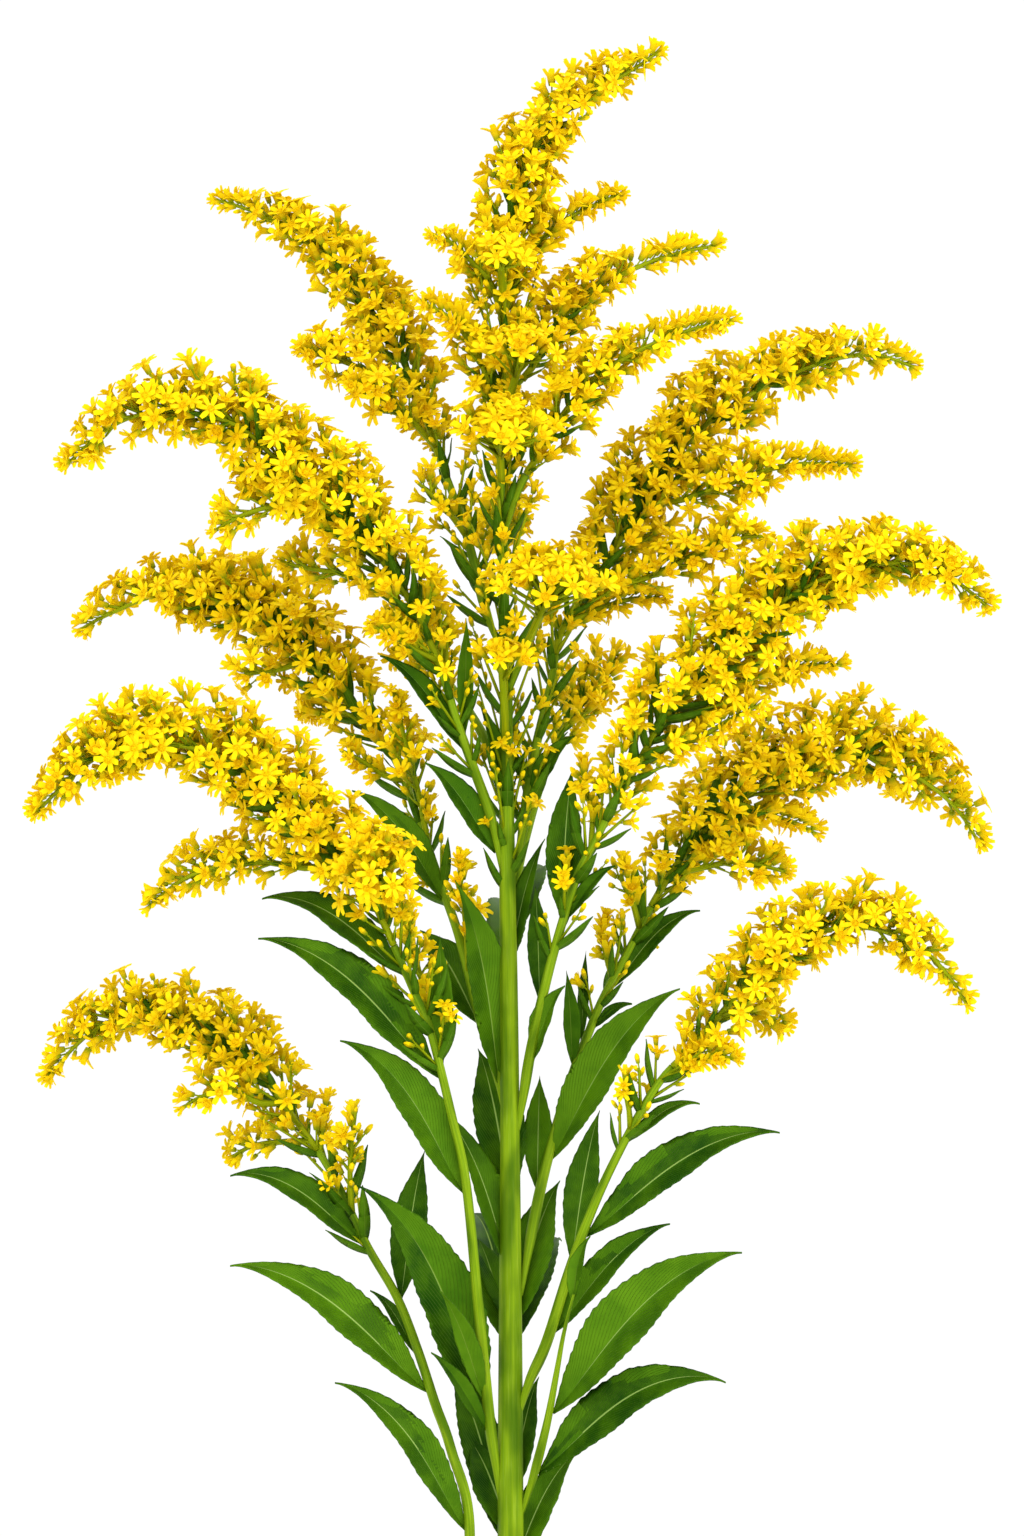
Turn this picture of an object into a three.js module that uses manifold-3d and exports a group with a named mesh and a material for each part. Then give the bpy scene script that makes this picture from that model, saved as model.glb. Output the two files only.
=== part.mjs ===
// Goldenrod in a plain clay pot. Millimetres, +Z up, origin under the pot's middle, plant facing -Y.
import * as THREE from 'three';
import { mergeVertices } from 'three/addons/utils/BufferGeometryUtils.js';
import Module from 'manifold-3d';

// Pot and soil
const potHeight = 140;
const potBaseRadius = 55;
const potBodyRadius = 77; // of the body's slope, carried up to the rim
const potRimRadius = 80;
const potWall = 6;
const rimBand = 28;
const bandProud = 3;
const potEdge = 2;
const drainRadius = 7;
const soilTop = 122;
const soilMound = 2.5;
const soilRough = 0.8;
const potSegments = 24;

// Fits and thicknesses
const seat = 0.3; // between a piece and what it grows from or stands in
const weld = 1e-3; // corners closer than this are one
const bladeEdge = 0.6;
const bladeNear = 0.01;
const midribBase = 1.3;
const midribTip = 0.9;

// Flower sprays
const coreShare = 0.46; // the spray's own axis within the florets' reach
const cellPerRadius = 1.1; // a floret's length along the axis, by its reach
const cellMore = 3;
const cellLeast = 5.4;
const petalInset = 0.33; // keeps one floret's petals off the next one's
const petalLean = 0.35;
const petalJitter = 0.13;
const discHeight = 0.66;
const neckRadius = 1.3;
const bareNeck = 2.2; // of a spray that grows from a stem's side
const seatStep = 0.1;
const stemSamples = 400;
const tipRadius = 0.7;
const sprayShape = [[0, 0.45], [0.1, 0.85], [0.28, 1], [0.55, 0.93], [0.75, 0.68], [0.9, 0.42], [1, 0.25]];

// Leaves
const bladeStations = [0, 0.18, 0.4, 0.62, 0.83];
const bladeShares = [0.16, 0.72, 1, 0.88, 0.46]; // of the half width
const smallStations = [0, 0.38, 0.72];
const smallShares = [0.2, 1, 0.7];
const smallWidth = 8.5;
const bladeTooth = 0.05;
const bladeFold = 0.16; // edges stand above the midrib
const bladeWave = 0.05;

// Middle lines of the stems and sprays, root first
const paths = {
  main: [
    [0.4, 0, 82], [0.2, 0, 190], [0, 0, 299], [-0.8, 0, 369], [-1, 0, 403.3], [-1.8, 0.1, 434],
    [-1.8, 0.6, 474], [-1.8, 1, 491.5], [-0.8, 1.7, 511.1], [1.8, 2.5, 524.4], [4.3, 3.2, 533.5],
    [10, 4.2, 542], [18.5, 5.6, 550.1], [26.6, 7, 554.8], [33.4, 8.4, 558.9], [39.2, 10, 563.5],
  ],
  L1: [
    [-1.8, 0, 410], [-6.3, 2.1, 422], [-9, 4.5, 433.3], [-12, 7.1, 444.2], [-17.6, 11.1, 459.6],
    [-24.2, 16.4, 478.7], [-31, 20.4, 491.4], [-37.9, 23.8, 501.4], [-45.5, 27.5, 511.7],
    [-55.7, 31.2, 518.8], [-65.9, 34.6, 523.5], [-76.7, 38, 526.8],
  ],
  L2: [
    [-2, 0, 355.8], [-4.5, -2.6, 369], [-9, -5.6, 381.8], [-13, -8.4, 393], [-17.9, -12.3, 408.6],
    [-24.3, -16.2, 422.5], [-31.2, -19.4, 432.8], [-37.6, -22, 440.7], [-45.5, -24.9, 448.6],
    [-58, -29.2, 458.6], [-65.9, -32.1, 465.6], [-73.7, -34.4, 468.5], [-82.9, -37, 470.1],
    [-91.5, -39.4, 468.8], [-98.5, -41.6, 465.5], [-104.5, -43.8, 460.5], [-110.1, -46, 454.8],
  ],
  L3: [
    [-0.5, 0, 290.2], [-2.3, 2.4, 302.2], [-5, 4.7, 311.6], [-8, 7, 321.1], [-12.8, 11.8, 339.8],
    [-17.6, 15.5, 353.3], [-23.4, 20.1, 369.9], [-29.3, 24.3, 384.5], [-37.7, 27.7, 394.4],
    [-45.8, 31.2, 404.3], [-53, 34.3, 412.9], [-61.2, 37, 418.6], [-69.4, 39.5, 422.7], [-78.4, 42.2, 426],
    [-85.8, 44.2, 426.6], [-94, 46.6, 424.8], [-100.5, 48.5, 422], [-106.4, 50.4, 419.3],
    [-111.4, 52, 416.2],
  ],
  L4: [
    [-2.5, 0, 199], [-3.5, -1.4, 207.6], [-5.2, -3.9, 220.3], [-8, -10.1, 249.6], [-10.9, -16.8, 279],
    [-14.1, -20.5, 294.5], [-19.5, -25.9, 316.5], [-23, -28.1, 325.2], [-28.6, -31.6, 338.1],
    [-33.5, -34.5, 348.5], [-39.9, -37.2, 357.4], [-46.2, -39.5, 363.8], [-52.6, -42, 370.9],
    [-59.6, -44.3, 376.6], [-68.4, -47.1, 383], [-77.8, -49.8, 386.9], [-86.6, -52.1, 388.1],
    [-95, -54.4, 386.9], [-102.3, -56.5, 383.7], [-107.6, -58.4, 379.1], [-113.1, -60.5, 373.5],
    [-116.9, -62, 369.3],
  ],
  L5: [
    [-15, -9, 84], [-14, -9, 140], [-10, -8, 190.6], [-14.7, -6.8, 212.2], [-18.7, -5.6, 223.6],
    [-23, -3.9, 236.7], [-28.2, -1.7, 249.8], [-35.8, 0.8, 262.7], [-45.1, 4.9, 281.3],
    [-55.5, 8.9, 295.9], [-64.8, 12.4, 307.1], [-73.5, 15, 312.8], [-82.9, 17.8, 317.3],
    [-92.5, 20.5, 320.2], [-101, 23, 318.1], [-107.6, 25.3, 313.8], [-113.6, 27.8, 307.6],
    [-117.5, 30, 301.5],
  ],
  R1a: [
    [-1.8, 0, 473.5], [5, 3.5, 481.6], [9, 5.9, 487.8], [15.3, 9.8, 497.7], [21.9, 12.6, 502.9],
    [35.3, 17.5, 509.4], [45.4, 21, 512.6], [54.3, 24, 514.1],
  ],
  R1b: [
    [-1.8, 0, 439], [1.7, -3.6, 450.4], [5.2, -5.9, 457.1], [9.7, -8.2, 463.5], [13.7, -10.7, 470.6],
    [21.6, -14.3, 479.4], [32.3, -18, 485.7], [44.6, -22, 490.5], [57.4, -26, 493.3],
  ],
  R2: [
    [0.8, 0, 354], [2.8, 1.8, 364], [5.8, 6, 384], [10.5, 10.6, 404.1], [12.1, 13, 414.2],
    [16.1, 15.1, 422.3], [20.6, 16.8, 428.1], [26.5, 19.4, 437.2], [32.8, 22.5, 448.4],
    [39.2, 25.1, 457.3], [48.1, 28.4, 467.5], [58.3, 31.6, 475.2], [71, 35.1, 481.7], [83.8, 38.5, 486.1],
    [94.1, 41.1, 486.8], [104.9, 44, 483.3],
  ],
  R3: [
    [1.5, 0, 289], [3.2, -1.8, 299.1], [5.5, -4.6, 312.9], [10.2, -9.1, 333.4], [16.4, -14, 354.2],
    [21.6, -16.7, 364.6], [26.3, -19.2, 374.1], [32.2, -22, 384], [37.1, -24.4, 392.6],
    [44.5, -27.2, 401.3], [54.3, -30.7, 411.1], [61.6, -33.3, 418.5], [71.4, -36.5, 425.8],
    [83.6, -39.9, 430.7], [95.8, -43.1, 432.3], [107.9, -46.4, 428.6], [118.5, -50, 420.2],
  ],
  R4: [
    [2.8, 0, 250.2], [4.8, 2.6, 262.4], [9, 7.5, 282.2], [15.3, 13.2, 303.6], [19.6, 16.4, 314.8],
    [23.4, 19.1, 323.8], [30, 22.9, 336.1], [36.6, 26.8, 348.6], [43, 30.2, 358.7], [52, 34, 368.8],
    [63.5, 38.1, 377.7], [73.7, 41.3, 382.8], [86.6, 45.1, 385.8], [99.5, 49, 382], [109.8, 52.5, 375.6],
    [116.4, 55.2, 368.7], [121.1, 58, 360.5],
  ],
  R5: [
    [1.5, 0, 217.8], [4.7, -2.2, 228.4], [9.2, -4.8, 238.8], [15.7, -10, 259.5], [23.1, -15.2, 278.4],
    [32.5, -20.7, 297], [38.4, -23.7, 306], [44.3, -26, 312], [51.9, -29.3, 321], [57.2, -31.6, 327.2],
    [66.5, -35.2, 335.9], [76.3, -38.5, 341.7], [88.4, -42.1, 342.7], [100.5, -46, 337.9],
    [107.8, -49.1, 330.6], [112.8, -52, 322.3],
  ],
  R6: [
    [2.5, 0, 194], [6, -3.3, 205.7], [9.2, -6.7, 218.5], [11.5, -10.1, 230.9], [13.4, -13, 241.5],
    [16.1, -16, 252.4],
  ],
  L0a: [
    [-1.7, 1.1, 493.9], [-4.7, -4, 502.8], [-9.5, -7.7, 508.1], [-14.4, -11.2, 512.6],
    [-21.1, -14.9, 515.2],
  ],
  R0a: [
    [-1.7, 1.1, 494.8], [2.5, 4.8, 506.7], [5.3, 6.5, 511.9], [10, 8.5, 516.7], [16.1, 10.6, 520.9],
    [23.1, 12.9, 524.3], [29.9, 15.1, 527.2],
  ],
  L0b: [
    [-1.8, 0.5, 467], [-6, -3.4, 480.1], [-9.7, -5.8, 487.5], [-14.9, -8.3, 494.1], [-24.4, -11.5, 499.4],
  ],
  L1b: [
    [-24.2, 16.4, 478.7], [-37.4, 9.4, 482.4], [-43.6, 6, 484.5], [-50.8, 2.2, 486.1], [-54.3, 0.4, 486],
  ],
  L1c: [
    [-18.6, 11.9, 462.6], [-23.3, 6.9, 467.7], [-27.3, 2.8, 471.1], [-33.9, -3.5, 475.4],
    [-41.6, -10.1, 478.6],
  ],
  L1d: [[-10.8, 6.1, 440.2], [-15.3, 1.8, 446], [-19.7, -2.1, 450.4], [-24.4, -5.9, 454.3]],
  R2b: [[32.8, 22.5, 448.4], [42.8, 18.6, 449.5], [52.8, 14.5, 452.7], [70.2, 7.4, 458], [88, 0.5, 457.5]],
  R2c: [
    [20.6, 16.8, 428.1], [32.7, 13.3, 429.3], [47.7, 8.5, 436.2], [57.6, 5.4, 439.6], [66.3, 2.8, 440.1],
  ],
  L2b: [
    [-42.2, -23.7, 445.5], [-50.2, -25.6, 445.3], [-58.1, -27.5, 446.5], [-64.2, -28.9, 445.2],
    [-70.6, -30.6, 442], [-74.5, -31.7, 439.2],
  ],
  L2c: [
    [-27.2, -17.6, 427.2], [-35.3, -14.1, 428], [-42.6, -10.9, 430.5], [-50.6, -7.4, 431.8],
    [-59.4, -3.6, 433.9],
  ],
  R3b: [[44.5, -27.2, 401.3], [54.5, -23.3, 402.8], [69.5, -17.1, 407.1], [84.6, -11.2, 407.6]],
  L3b: [[-50.6, 33.3, 410.3], [-56.9, 29.1, 407.3], [-62.7, 25.6, 406.3], [-69.6, 21.3, 405]],
  R4b: [[40.5, 28.9, 355], [48, 25, 356.7], [58, 20, 358.3], [71.6, 12.9, 355.4]],
  L4b: [
    [-42, -38, 359.7], [-49.2, -36.5, 357.4], [-60.6, -34.4, 358.8], [-70.3, -32.6, 358.1],
    [-78.5, -30.9, 355.6], [-85.7, -29.3, 350.9], [-90.7, -28, 345.9],
  ],
  L4c: [[-35, -35.2, 350.9], [-33.3, -48.5, 354.6], [-31.7, -58.1, 357.1], [-30.9, -65.2, 359.1]],
  R5b: [[47.4, -27.4, 315.7], [55.7, -21.7, 321.6], [63.3, -17.7, 320.7], [70.1, -13.4, 316.4]],
  L5b: [
    [-57.1, 9.5, 298.1], [-62.9, 7.1, 298], [-70.4, 3.6, 301.4], [-78.5, 0, 299.2], [-83.2, -2.5, 295.8],
  ],
  L5c: [[-49.8, 6.8, 288.5], [-57.3, 10.7, 288.1], [-64.9, 14.8, 286.9], [-71.6, 18.8, 283]],
  S_L2: [[-13.7, -9, 395.3], [-15.7, -6.2, 403.9], [-17.5, -2.3, 416.5], [-20, 3, 433.6]],
  S_L3a: [[-20.5, 17.8, 361.5], [-22.6, 13.1, 374], [-26.3, 7.4, 389], [-30, 1.8, 404]],
  S_L3b: [[-10.3, 9.3, 330.2], [-11, 6, 341.4], [-12.5, 2.2, 354], [-13.2, -0.7, 363.5]],
  S_R3: [[20.2, -16, 362], [20.4, -12, 371.6], [18.4, -8.8, 379], [17.5, -6, 386]],
  S_R4a: [[32.8, 24.6, 341.4], [30.7, 20, 348.7], [28.2, 16.7, 353.8], [28.1, 12.6, 360.9]],
  S_R5: [[29.9, -19.3, 292.3], [29.5, -21.4, 297.3], [28.5, -23.2, 302.3], [28.7, -25.3, 308.3]],
  S_L4: [[-19.3, -25.7, 315.8], [-21.6, -17.6, 327.4], [-23.6, -11.5, 336.2], [-25.2, -3.7, 347.8]],
  S_L5a: [[-39.5, 2.4, 270.2], [-40, -1.6, 281.6], [-39.4, -4.2, 289.2], [-38.1, -7.6, 298.5]],
  F1: [[-1.8, 0, 497.5], [-2, -7, 502.4], [-2.2, -15, 505.7], [-2, -26, 507.1]],
  F2: [[-1.8, 0, 467], [0.3, -9, 475.6], [2.5, -18, 482.2], [3.2, -30, 483.2]],
  F3: [[-1.8, 0, 446], [-2.2, -10, 454.9], [-2.5, -22, 460.8], [-2.4, -40, 462.1]],
  F4: [[-1, 0, 399], [3.7, -10, 411.4], [8.2, -24, 421.1], [11.3, -46, 425.6]],
  F5: [[-1, 0, 388.5], [-1.2, -9, 395.2], [-2, -16, 405.1], [-2, -28, 408.2]],
  G2: [[-1.5, 0, 422.5], [-1.5, 10, 430.5], [-2.5, 28, 439.7], [-3.6, 66, 447.8]],
  G3: [[-0.5, 0, 340.2], [3, 15, 361.4], [12.7, 40, 390.4], [28.8, 70, 413.6]],
  G4: [[-0.8, 0, 374], [-7.5, 14, 391.6], [-20.3, 36, 409.4], [-32.1, 68, 421.3]],
};

// Green stems: node, line, share of the line that is bare stem, root and end radius, sides, step
const stalks = [
  ['main_stem', 'main', 0.813, 4.1, 0.95, 6, 32],
  ['branch_left_1', 'L1', 0.352, 1.7, 1.1, 5, 18],
  ['branch_left_2', 'L2', 0.292, 1.8, 1.2, 5, 18],
  ['branch_left_3', 'L3', 0.474, 1.9, 1.2, 5, 20],
  ['branch_left_4', 'L4', 0.547, 2, 1.2, 5, 21],
  ['shoot_left', 'L5', 0.693, 2.1, 1.2, 5, 22],
  ['branch_right_2', 'R2', 0.303, 1.8, 1.2, 5, 18],
  ['branch_right_3', 'R3', 0.395, 1.9, 1.2, 5, 20],
  ['branch_right_4', 'R4', 0.477, 2, 1.2, 5, 21],
  ['branch_right_5', 'R5', 0.506, 2, 1.1, 5, 21],
  ['leafy_shoot_right', 'R6', 1, 1.9, 0.9, 5, 20],
];
// Short bare stalks that belong to the main stem
const mainTwigs = [
  ['R1a', 0.1, 1.2], ['R1b', 0.2, 1.3], ['G2', 0.42, 1.3], ['G3', 0.55, 1.5], ['G4', 0.52, 1.5],
  ['F3', 0.25, 1.3], ['F4', 0.3, 1.5],
];

// Leaves: stem, root, tip, width, bow of the midrib, turn of the blade from facing forward to facing up
const leaves = [
  ['L2', [-2.9, -1.1, 361.3], [-21.2, -8.1, 383.5], 7.8, .06, 30],
  ['main', [-0.8, 0, 373.1], [-8, -3, 399], 5, .04, 30],
  ['main', [0.1, 0, 256.3], [-17.5, 0, 297], 8.8, .06, 35],
  ['main', [0.1, 0, 274.5], [-8.1, 20, 311.4], 12.7, .05, 50],
  ['main', [0.2, 0, 242.1], [12.6, 16, 278.3], 11.9, .05, 40],
  ['main', [-0.3, 0, 332.7], [8.8, 8, 364.4], 5, .05, 40],
  ['main', [0.2, 0, 199.2], [7.3, 12, 229.2], 7.5, .05, 40],
  ['main', [0.3, 0, 185.5], [-15.7, 32, 232.5], 11.5, .05, 45],
  ['L4', [-4.8, -3.1, 216.5], [-19.6, -19.1, 237.2], 4.5, .05, 25],
  ['main', [0.2, 0, 237.3], [-8.1, 22, 263.4], 10.2, .05, 45],
  ['main', [0.2, 0, 190], [-10.6, 16, 213.4], 11.5, .06, 45],
  ['main', [0.3, 0, 181], [17.6, 14, 210.5], 9.4, .08, 40],
  ['L2', [-11.1, -7, 387.6], [-32.3, -13, 410.1], 6.1, .08, 30],
  ['L2', [-12.1, -7.7, 390.4], [-10.7, -13.7, 419.3], 4.1, .03, 20],
  ['L3', [-15.9, 14.2, 348.8], [-39.6, 6.2, 376.5], 8.3, .08, 30],
  ['L3', [-2.2, 2.3, 301.7], [-13.7, -5.7, 354.1], 11.9, .05, 25],
  ['L3', [-7.3, 6.4, 318.5], [-22.7, 20.4, 341.2], 11.7, .06, 35],
  ['L4', [-16.8, -23.3, 305.9], [-62.1, -33.3, 340.1], 12.5, .10, 30],
  ['L4', [-10.7, -16.3, 277], [-42, -28.3, 314.8], 11.9, .10, 25],
  ['L4', [-25.7, -29.8, 331.5], [-61.4, -23.8, 349.8], 9.4, .12, 40],
  ['L4', [-17.6, -24, 308.9], [-17.3, -31, 340.8], 5.6, .03, 20],
  ['L4', [-5, -3.4, 217.9], [-38, -17.4, 278.5], 15.3, .10, 20],
  ['L4', [-5.6, -4.7, 224.2], [-17.3, -22.7, 252.7], 5.6, .05, 20],
  ['L5', [-19.7, -5.2, 226.8], [-69.5, -17.2, 258.6], 12.5, .10, 30],
  ['L5', [-10, -8, 192.1], [-43.5, -16, 229.5], 9.7, .10, 30],
  ['L5', [-36.1, 1, 263.4], [-69.7, -9, 280.6], 8.8, .12, 35],
  ['L5', [-22.8, -3.9, 236.2], [-35, 2.1, 251.4], 3.3, .08, 30],
  ['L5', [-28, -1.8, 249.3], [-21.4, 12.2, 286], 8.9, .04, 30],
  ['R2', [4.2, 3.9, 374.3], [16.2, -2.1, 390.2], 5.5, .08, 30],
  ['R3', [13.3, -11.6, 344.4], [15.7, -3.6, 382], 9, .05, 25],
  ['R3', [13.6, -11.9, 345.3], [26.1, -17.9, 357.9], 3.9, .08, 30],
  ['R3', [4.7, -3.7, 308.9], [13.7, -12.7, 328], 7, .08, 35],
  ['R3', [7.8, -6.9, 323.6], [6.3, 3.1, 352.7], 5.5, .04, 30],
  ['R4', [9.5, 7.9, 283.9], [42.5, -1.1, 327], 11.9, .08, 25],
  ['R4', [25.4, 20.3, 327.6], [48.1, 28.3, 346.1], 6.4, .10, 35],
  ['R4', [20.5, 17.1, 317.1], [30.7, 13.1, 322.9], 2.9, .10, 35],
  ['R4', [7.6, 5.9, 276.1], [7.5, 15.9, 304.7], 7.2, .03, 30],
  ['R4', [16.4, 14.1, 306.6], [14.1, 9.1, 331.3], 4.5, .03, 25],
  ['R4', [18.8, 15.9, 312.8], [19.2, 23.9, 336], 2.8, .03, 30],
  ['R5', [18, -11.7, 266], [66.8, -23.7, 291.9], 11.1, .10, 30],
  ['R5', [10.2, -5.5, 241.7], [39.8, -14.5, 268.9], 8.3, .08, 30],
  ['R5', [28.7, -18.6, 289.9], [47.2, -13.6, 298.7], 3.5, .12, 35],
  ['R5', [15.4, -9.8, 258.7], [22.5, 4.2, 296.4], 8.3, .04, 30],
  ['R6', [9.9, -7.6, 221.6], [57.5, -21.6, 262.1], 14.6, .10, 25],
  ['R6', [6.1, -3.4, 206.3], [53.7, -13.4, 229.4], 12.5, .14, 30],
  ['main', [0.2, 0, 242.1], [-10.2, 46, 268.1], 11, .12, 80],
  ['main', [0.2, 0, 237.3], [13.2, 48, 261.6], 11, .12, 80],
  ['main', [-0.3, 0, 332.7], [-2, 44, 347.1], 10, .12, 80],
  ['main', [-0.4, 0, 338.7], [9.6, 40, 356.1], 9, .12, 80],
  ['main', [0.3, 0, 158.4], [62, -40, 164], 13, .24, 75],
  ['main', [0.3, 0, 162.9], [58, 44, 158], 13, .24, 75],
  ['main', [0.3, 0, 153.9], [-54, 52, 160], 13, .24, 75],
  ['L5', [-11.6, -8.6, 167.5], [-70, -36, 166], 13, .22, 75],
];

// Sprays: node, line, start share, reach of the florets, sides, stem it sits on, and the sprays fused to it
const sprays = [
  ['plume_top', 'main', 0.813, 9.5, 4, null, [['L0a', 4, 5.5, 3], ['R0a', 4, 6, 3], ['F1', 5, 8, 4]]],
  ['plume_left_1', 'L1', 0.352, 9, 4, null, [['L1b', 7, 5.5, 3], ['L1c', 7, 6, 3]]],
  ['plume_left_2', 'L2', 0.292, 11, 4, null, [['L2b', 8, 5.5, 3], ['L2c', 8, 5.5, 3]]],
  ['plume_left_3', 'L3', 0.474, 10.5, 4, null, [['L3b', 8, 5, 3]]],
  ['plume_left_4', 'L4', 0.547, 11, 4, null, [['L4b', 8, 6, 3], ['L4c', 6, 9, 4]]],
  ['plume_left_5', 'L5', 0.693, 9.5, 4, null, [['L5b', 7, 5, 3], ['L5c', 7, 5, 3]]],
  ['plume_right_1a', 'R1a', 0.1, 8, 4, null, []],
  ['plume_right_1b', 'R1b', 0.2, 8.5, 4, null, []],
  ['plume_right_2', 'R2', 0.303, 11, 4, null, [['R2b', 8, 7, 3], ['R2c', 8, 6.5, 3]]],
  ['plume_right_3', 'R3', 0.395, 12, 4, null, [['R3b', 9, 6, 3]]],
  ['plume_right_4', 'R4', 0.477, 11.5, 4, null, [['R4b', 8, 6, 3]]],
  ['plume_right_5', 'R5', 0.506, 9, 4, null, [['R5b', 7, 5, 3]]],
  ['spray_left_top', 'L0b', 0, 7, 3, 'main', []],
  ['spray_front_2', 'F2', 0, 9, 4, 'main', []],
  ['spray_front_3', 'F3', 0.25, 12, 4, null, []],
  ['spray_front_4', 'F4', 0.3, 14, 4, null, []],
  ['spray_front_5', 'F5', 0, 7.5, 4, 'main', []],
  ['spray_back_1', 'G2', 0.42, 11, 4, null, []],
  ['spray_back_2', 'G3', 0.55, 12, 4, null, []],
  ['spray_back_3', 'G4', 0.52, 12, 4, null, []],
  ['side_spray_left_1', 'L1d', 0, 5, 3, 'L1', []],
  ['side_spray_left_2', 'S_L2', 0, 4.5, 3, 'L2', []],
  ['side_spray_left_3a', 'S_L3a', 0, 5.5, 3, 'L3', []],
  ['side_spray_left_3b', 'S_L3b', 0, 4.5, 3, 'L3', []],
  ['side_spray_left_4', 'S_L4', 0, 5, 3, 'L4', []],
  ['side_spray_left_5a', 'S_L5a', 0, 5, 3, 'L5', []],
  ['side_spray_right_3', 'S_R3', 0, 4.5, 3, 'R3', []],
  ['side_spray_right_4a', 'S_R4a', 0, 4.5, 3, 'R4', []],
  ['side_spray_right_5', 'S_R5', 0, 4, 3, 'R5', []],
];

const colours = {
  clay: new THREE.MeshStandardMaterial({ color: 0xb5683f, roughness: 0.85, metalness: 0 }),
  soil: new THREE.MeshStandardMaterial({ color: 0x3a291d, roughness: 0.95, metalness: 0 }),
  stem: new THREE.MeshStandardMaterial({ color: 0x7f9a2c, roughness: 0.6, metalness: 0, flatShading: true }),
  flower: new THREE.MeshStandardMaterial({ color: 0xf6c90e, roughness: 0.7, metalness: 0, flatShading: true }),
};

const wasm = await Module();
wasm.setup();

const model = new THREE.Group();
const nodes = new Map(); // name to closed solid

// A repeatable draw between 0 and 1
function drawFrom(seed) {
  let state = seed;
  return () => {
    state = (state + 0x6d2b79f5) | 0;
    let mixed = Math.imul(state ^ (state >>> 15), 1 | state);
    mixed = (mixed + Math.imul(mixed ^ (mixed >>> 7), 61 | mixed)) ^ mixed;
    return ((mixed ^ (mixed >>> 14)) >>> 0) / 4294967296;
  };
}

function toSolid(geometry) {
  geometry.deleteAttribute('normal');
  geometry.deleteAttribute('uv');
  const merged = mergeVertices(geometry, weld);
  const mesh = new wasm.Mesh({
    numProp: 3,
    vertProperties: new Float32Array(merged.attributes.position.array),
    triVerts: new Uint32Array(merged.index.array),
  });
  return new wasm.Manifold(mesh);
}

// The body left when loose scraps are dropped and sealed hollows filled
function mainBody(solid) {
  return solid.decompose().reduce((a, b) => (b.volume() > a.volume() ? b : a));
}

function surfaceOf(solid) {
  const mesh = solid.getMesh();
  const geometry = new THREE.BufferGeometry();
  geometry.setAttribute('position', new THREE.BufferAttribute(mesh.vertProperties, 3));
  geometry.setIndex(new THREE.BufferAttribute(mesh.triVerts, 1));
  return geometry;
}

// Welding close corners can part a scrap from its body, so the body is picked once more after it
function toGeometry(solid) {
  const welded = toSolid(surfaceOf(mainBody(solid)));
  const geometry = surfaceOf(mainBody(welded));
  geometry.computeVertexNormals();
  return geometry;
}

function fromLists(points, faces) {
  const geometry = new THREE.BufferGeometry();
  geometry.setAttribute('position', new THREE.Float32BufferAttribute(points.flatMap((p) => [p.x, p.y, p.z]), 3));
  geometry.setIndex(faces.flat());
  return toSolid(geometry);
}

// Value of a list of [place, value] pairs at a place between them
function along(pairs, place) {
  for (let i = 1; i < pairs.length; i++) {
    const [a, va] = pairs[i - 1];
    const [b, vb] = pairs[i];
    if (place <= b) return va + ((vb - va) * (place - a)) / (b - a);
  }
  return pairs[pairs.length - 1][1];
}

const curves = {};
for (const [name, points] of Object.entries(paths)) {
  const vectors = points.map((p) => new THREE.Vector3(...p));
  const curve = new THREE.CatmullRomCurve3(vectors, false, 'catmullrom', 0.5);
  const span = vectors[vectors.length - 1].clone().sub(vectors[0]);
  curve.crosswise = Math.abs(span.x) > Math.abs(span.y) ? new THREE.Vector3(0, 1, 0) : new THREE.Vector3(1, 0, 0);
  curves[name] = curve;
}

// The middle, direction and two crosswise directions of a line at a share of its length
function frameAt(curve, share) {
  const middle = curve.getPointAt(Math.min(1, Math.max(0, share)));
  const ahead = curve.getTangentAt(Math.min(1, Math.max(0, share)));
  const across = new THREE.Vector3().crossVectors(ahead, curve.crosswise).normalize();
  const other = new THREE.Vector3().crossVectors(ahead, across);
  return { middle, ahead, across, other };
}

function ringAt(frame, radius, sides, turn) {
  return Array.from({ length: sides }, (_, i) => {
    const angle = turn + (2 * Math.PI * i) / sides;
    return frame.middle.clone()
      .addScaledVector(frame.across, radius * Math.cos(angle))
      .addScaledVector(frame.other, radius * Math.sin(angle));
  });
}

// A bare stem along part of a line; grown makes the clearance shape round it
function stemSolid(curve, end, rootRadius, endRadius, sides, step, grown = 0) {
  const length = curve.getLength() * end;
  const count = Math.max(2, Math.round(length / step));
  const points = [];
  const faces = [];
  for (let k = 0; k <= count; k++) {
    const frame = frameAt(curve, (end * k) / count);
    if (k === 0) frame.middle.addScaledVector(frame.ahead, -grown);
    if (k === count) frame.middle.addScaledVector(frame.ahead, grown);
    const radius = rootRadius + (endRadius - rootRadius) * (k / count) + grown;
    points.push(...ringAt(frame, radius, sides, 0));
  }
  for (let k = 0; k < count; k++) {
    for (let j = 0; j < sides; j++) {
      const [a, b] = [k * sides + j, k * sides + ((j + 1) % sides)];
      faces.push([a, b, b + sides], [a, b + sides, a + sides]);
    }
  }
  const last = count * sides;
  for (let j = 1; j < sides - 1; j++) {
    faces.push([0, j + 1, j], [last, last + j, last + j + 1]);
  }
  return fromLists(points, faces);
}

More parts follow.
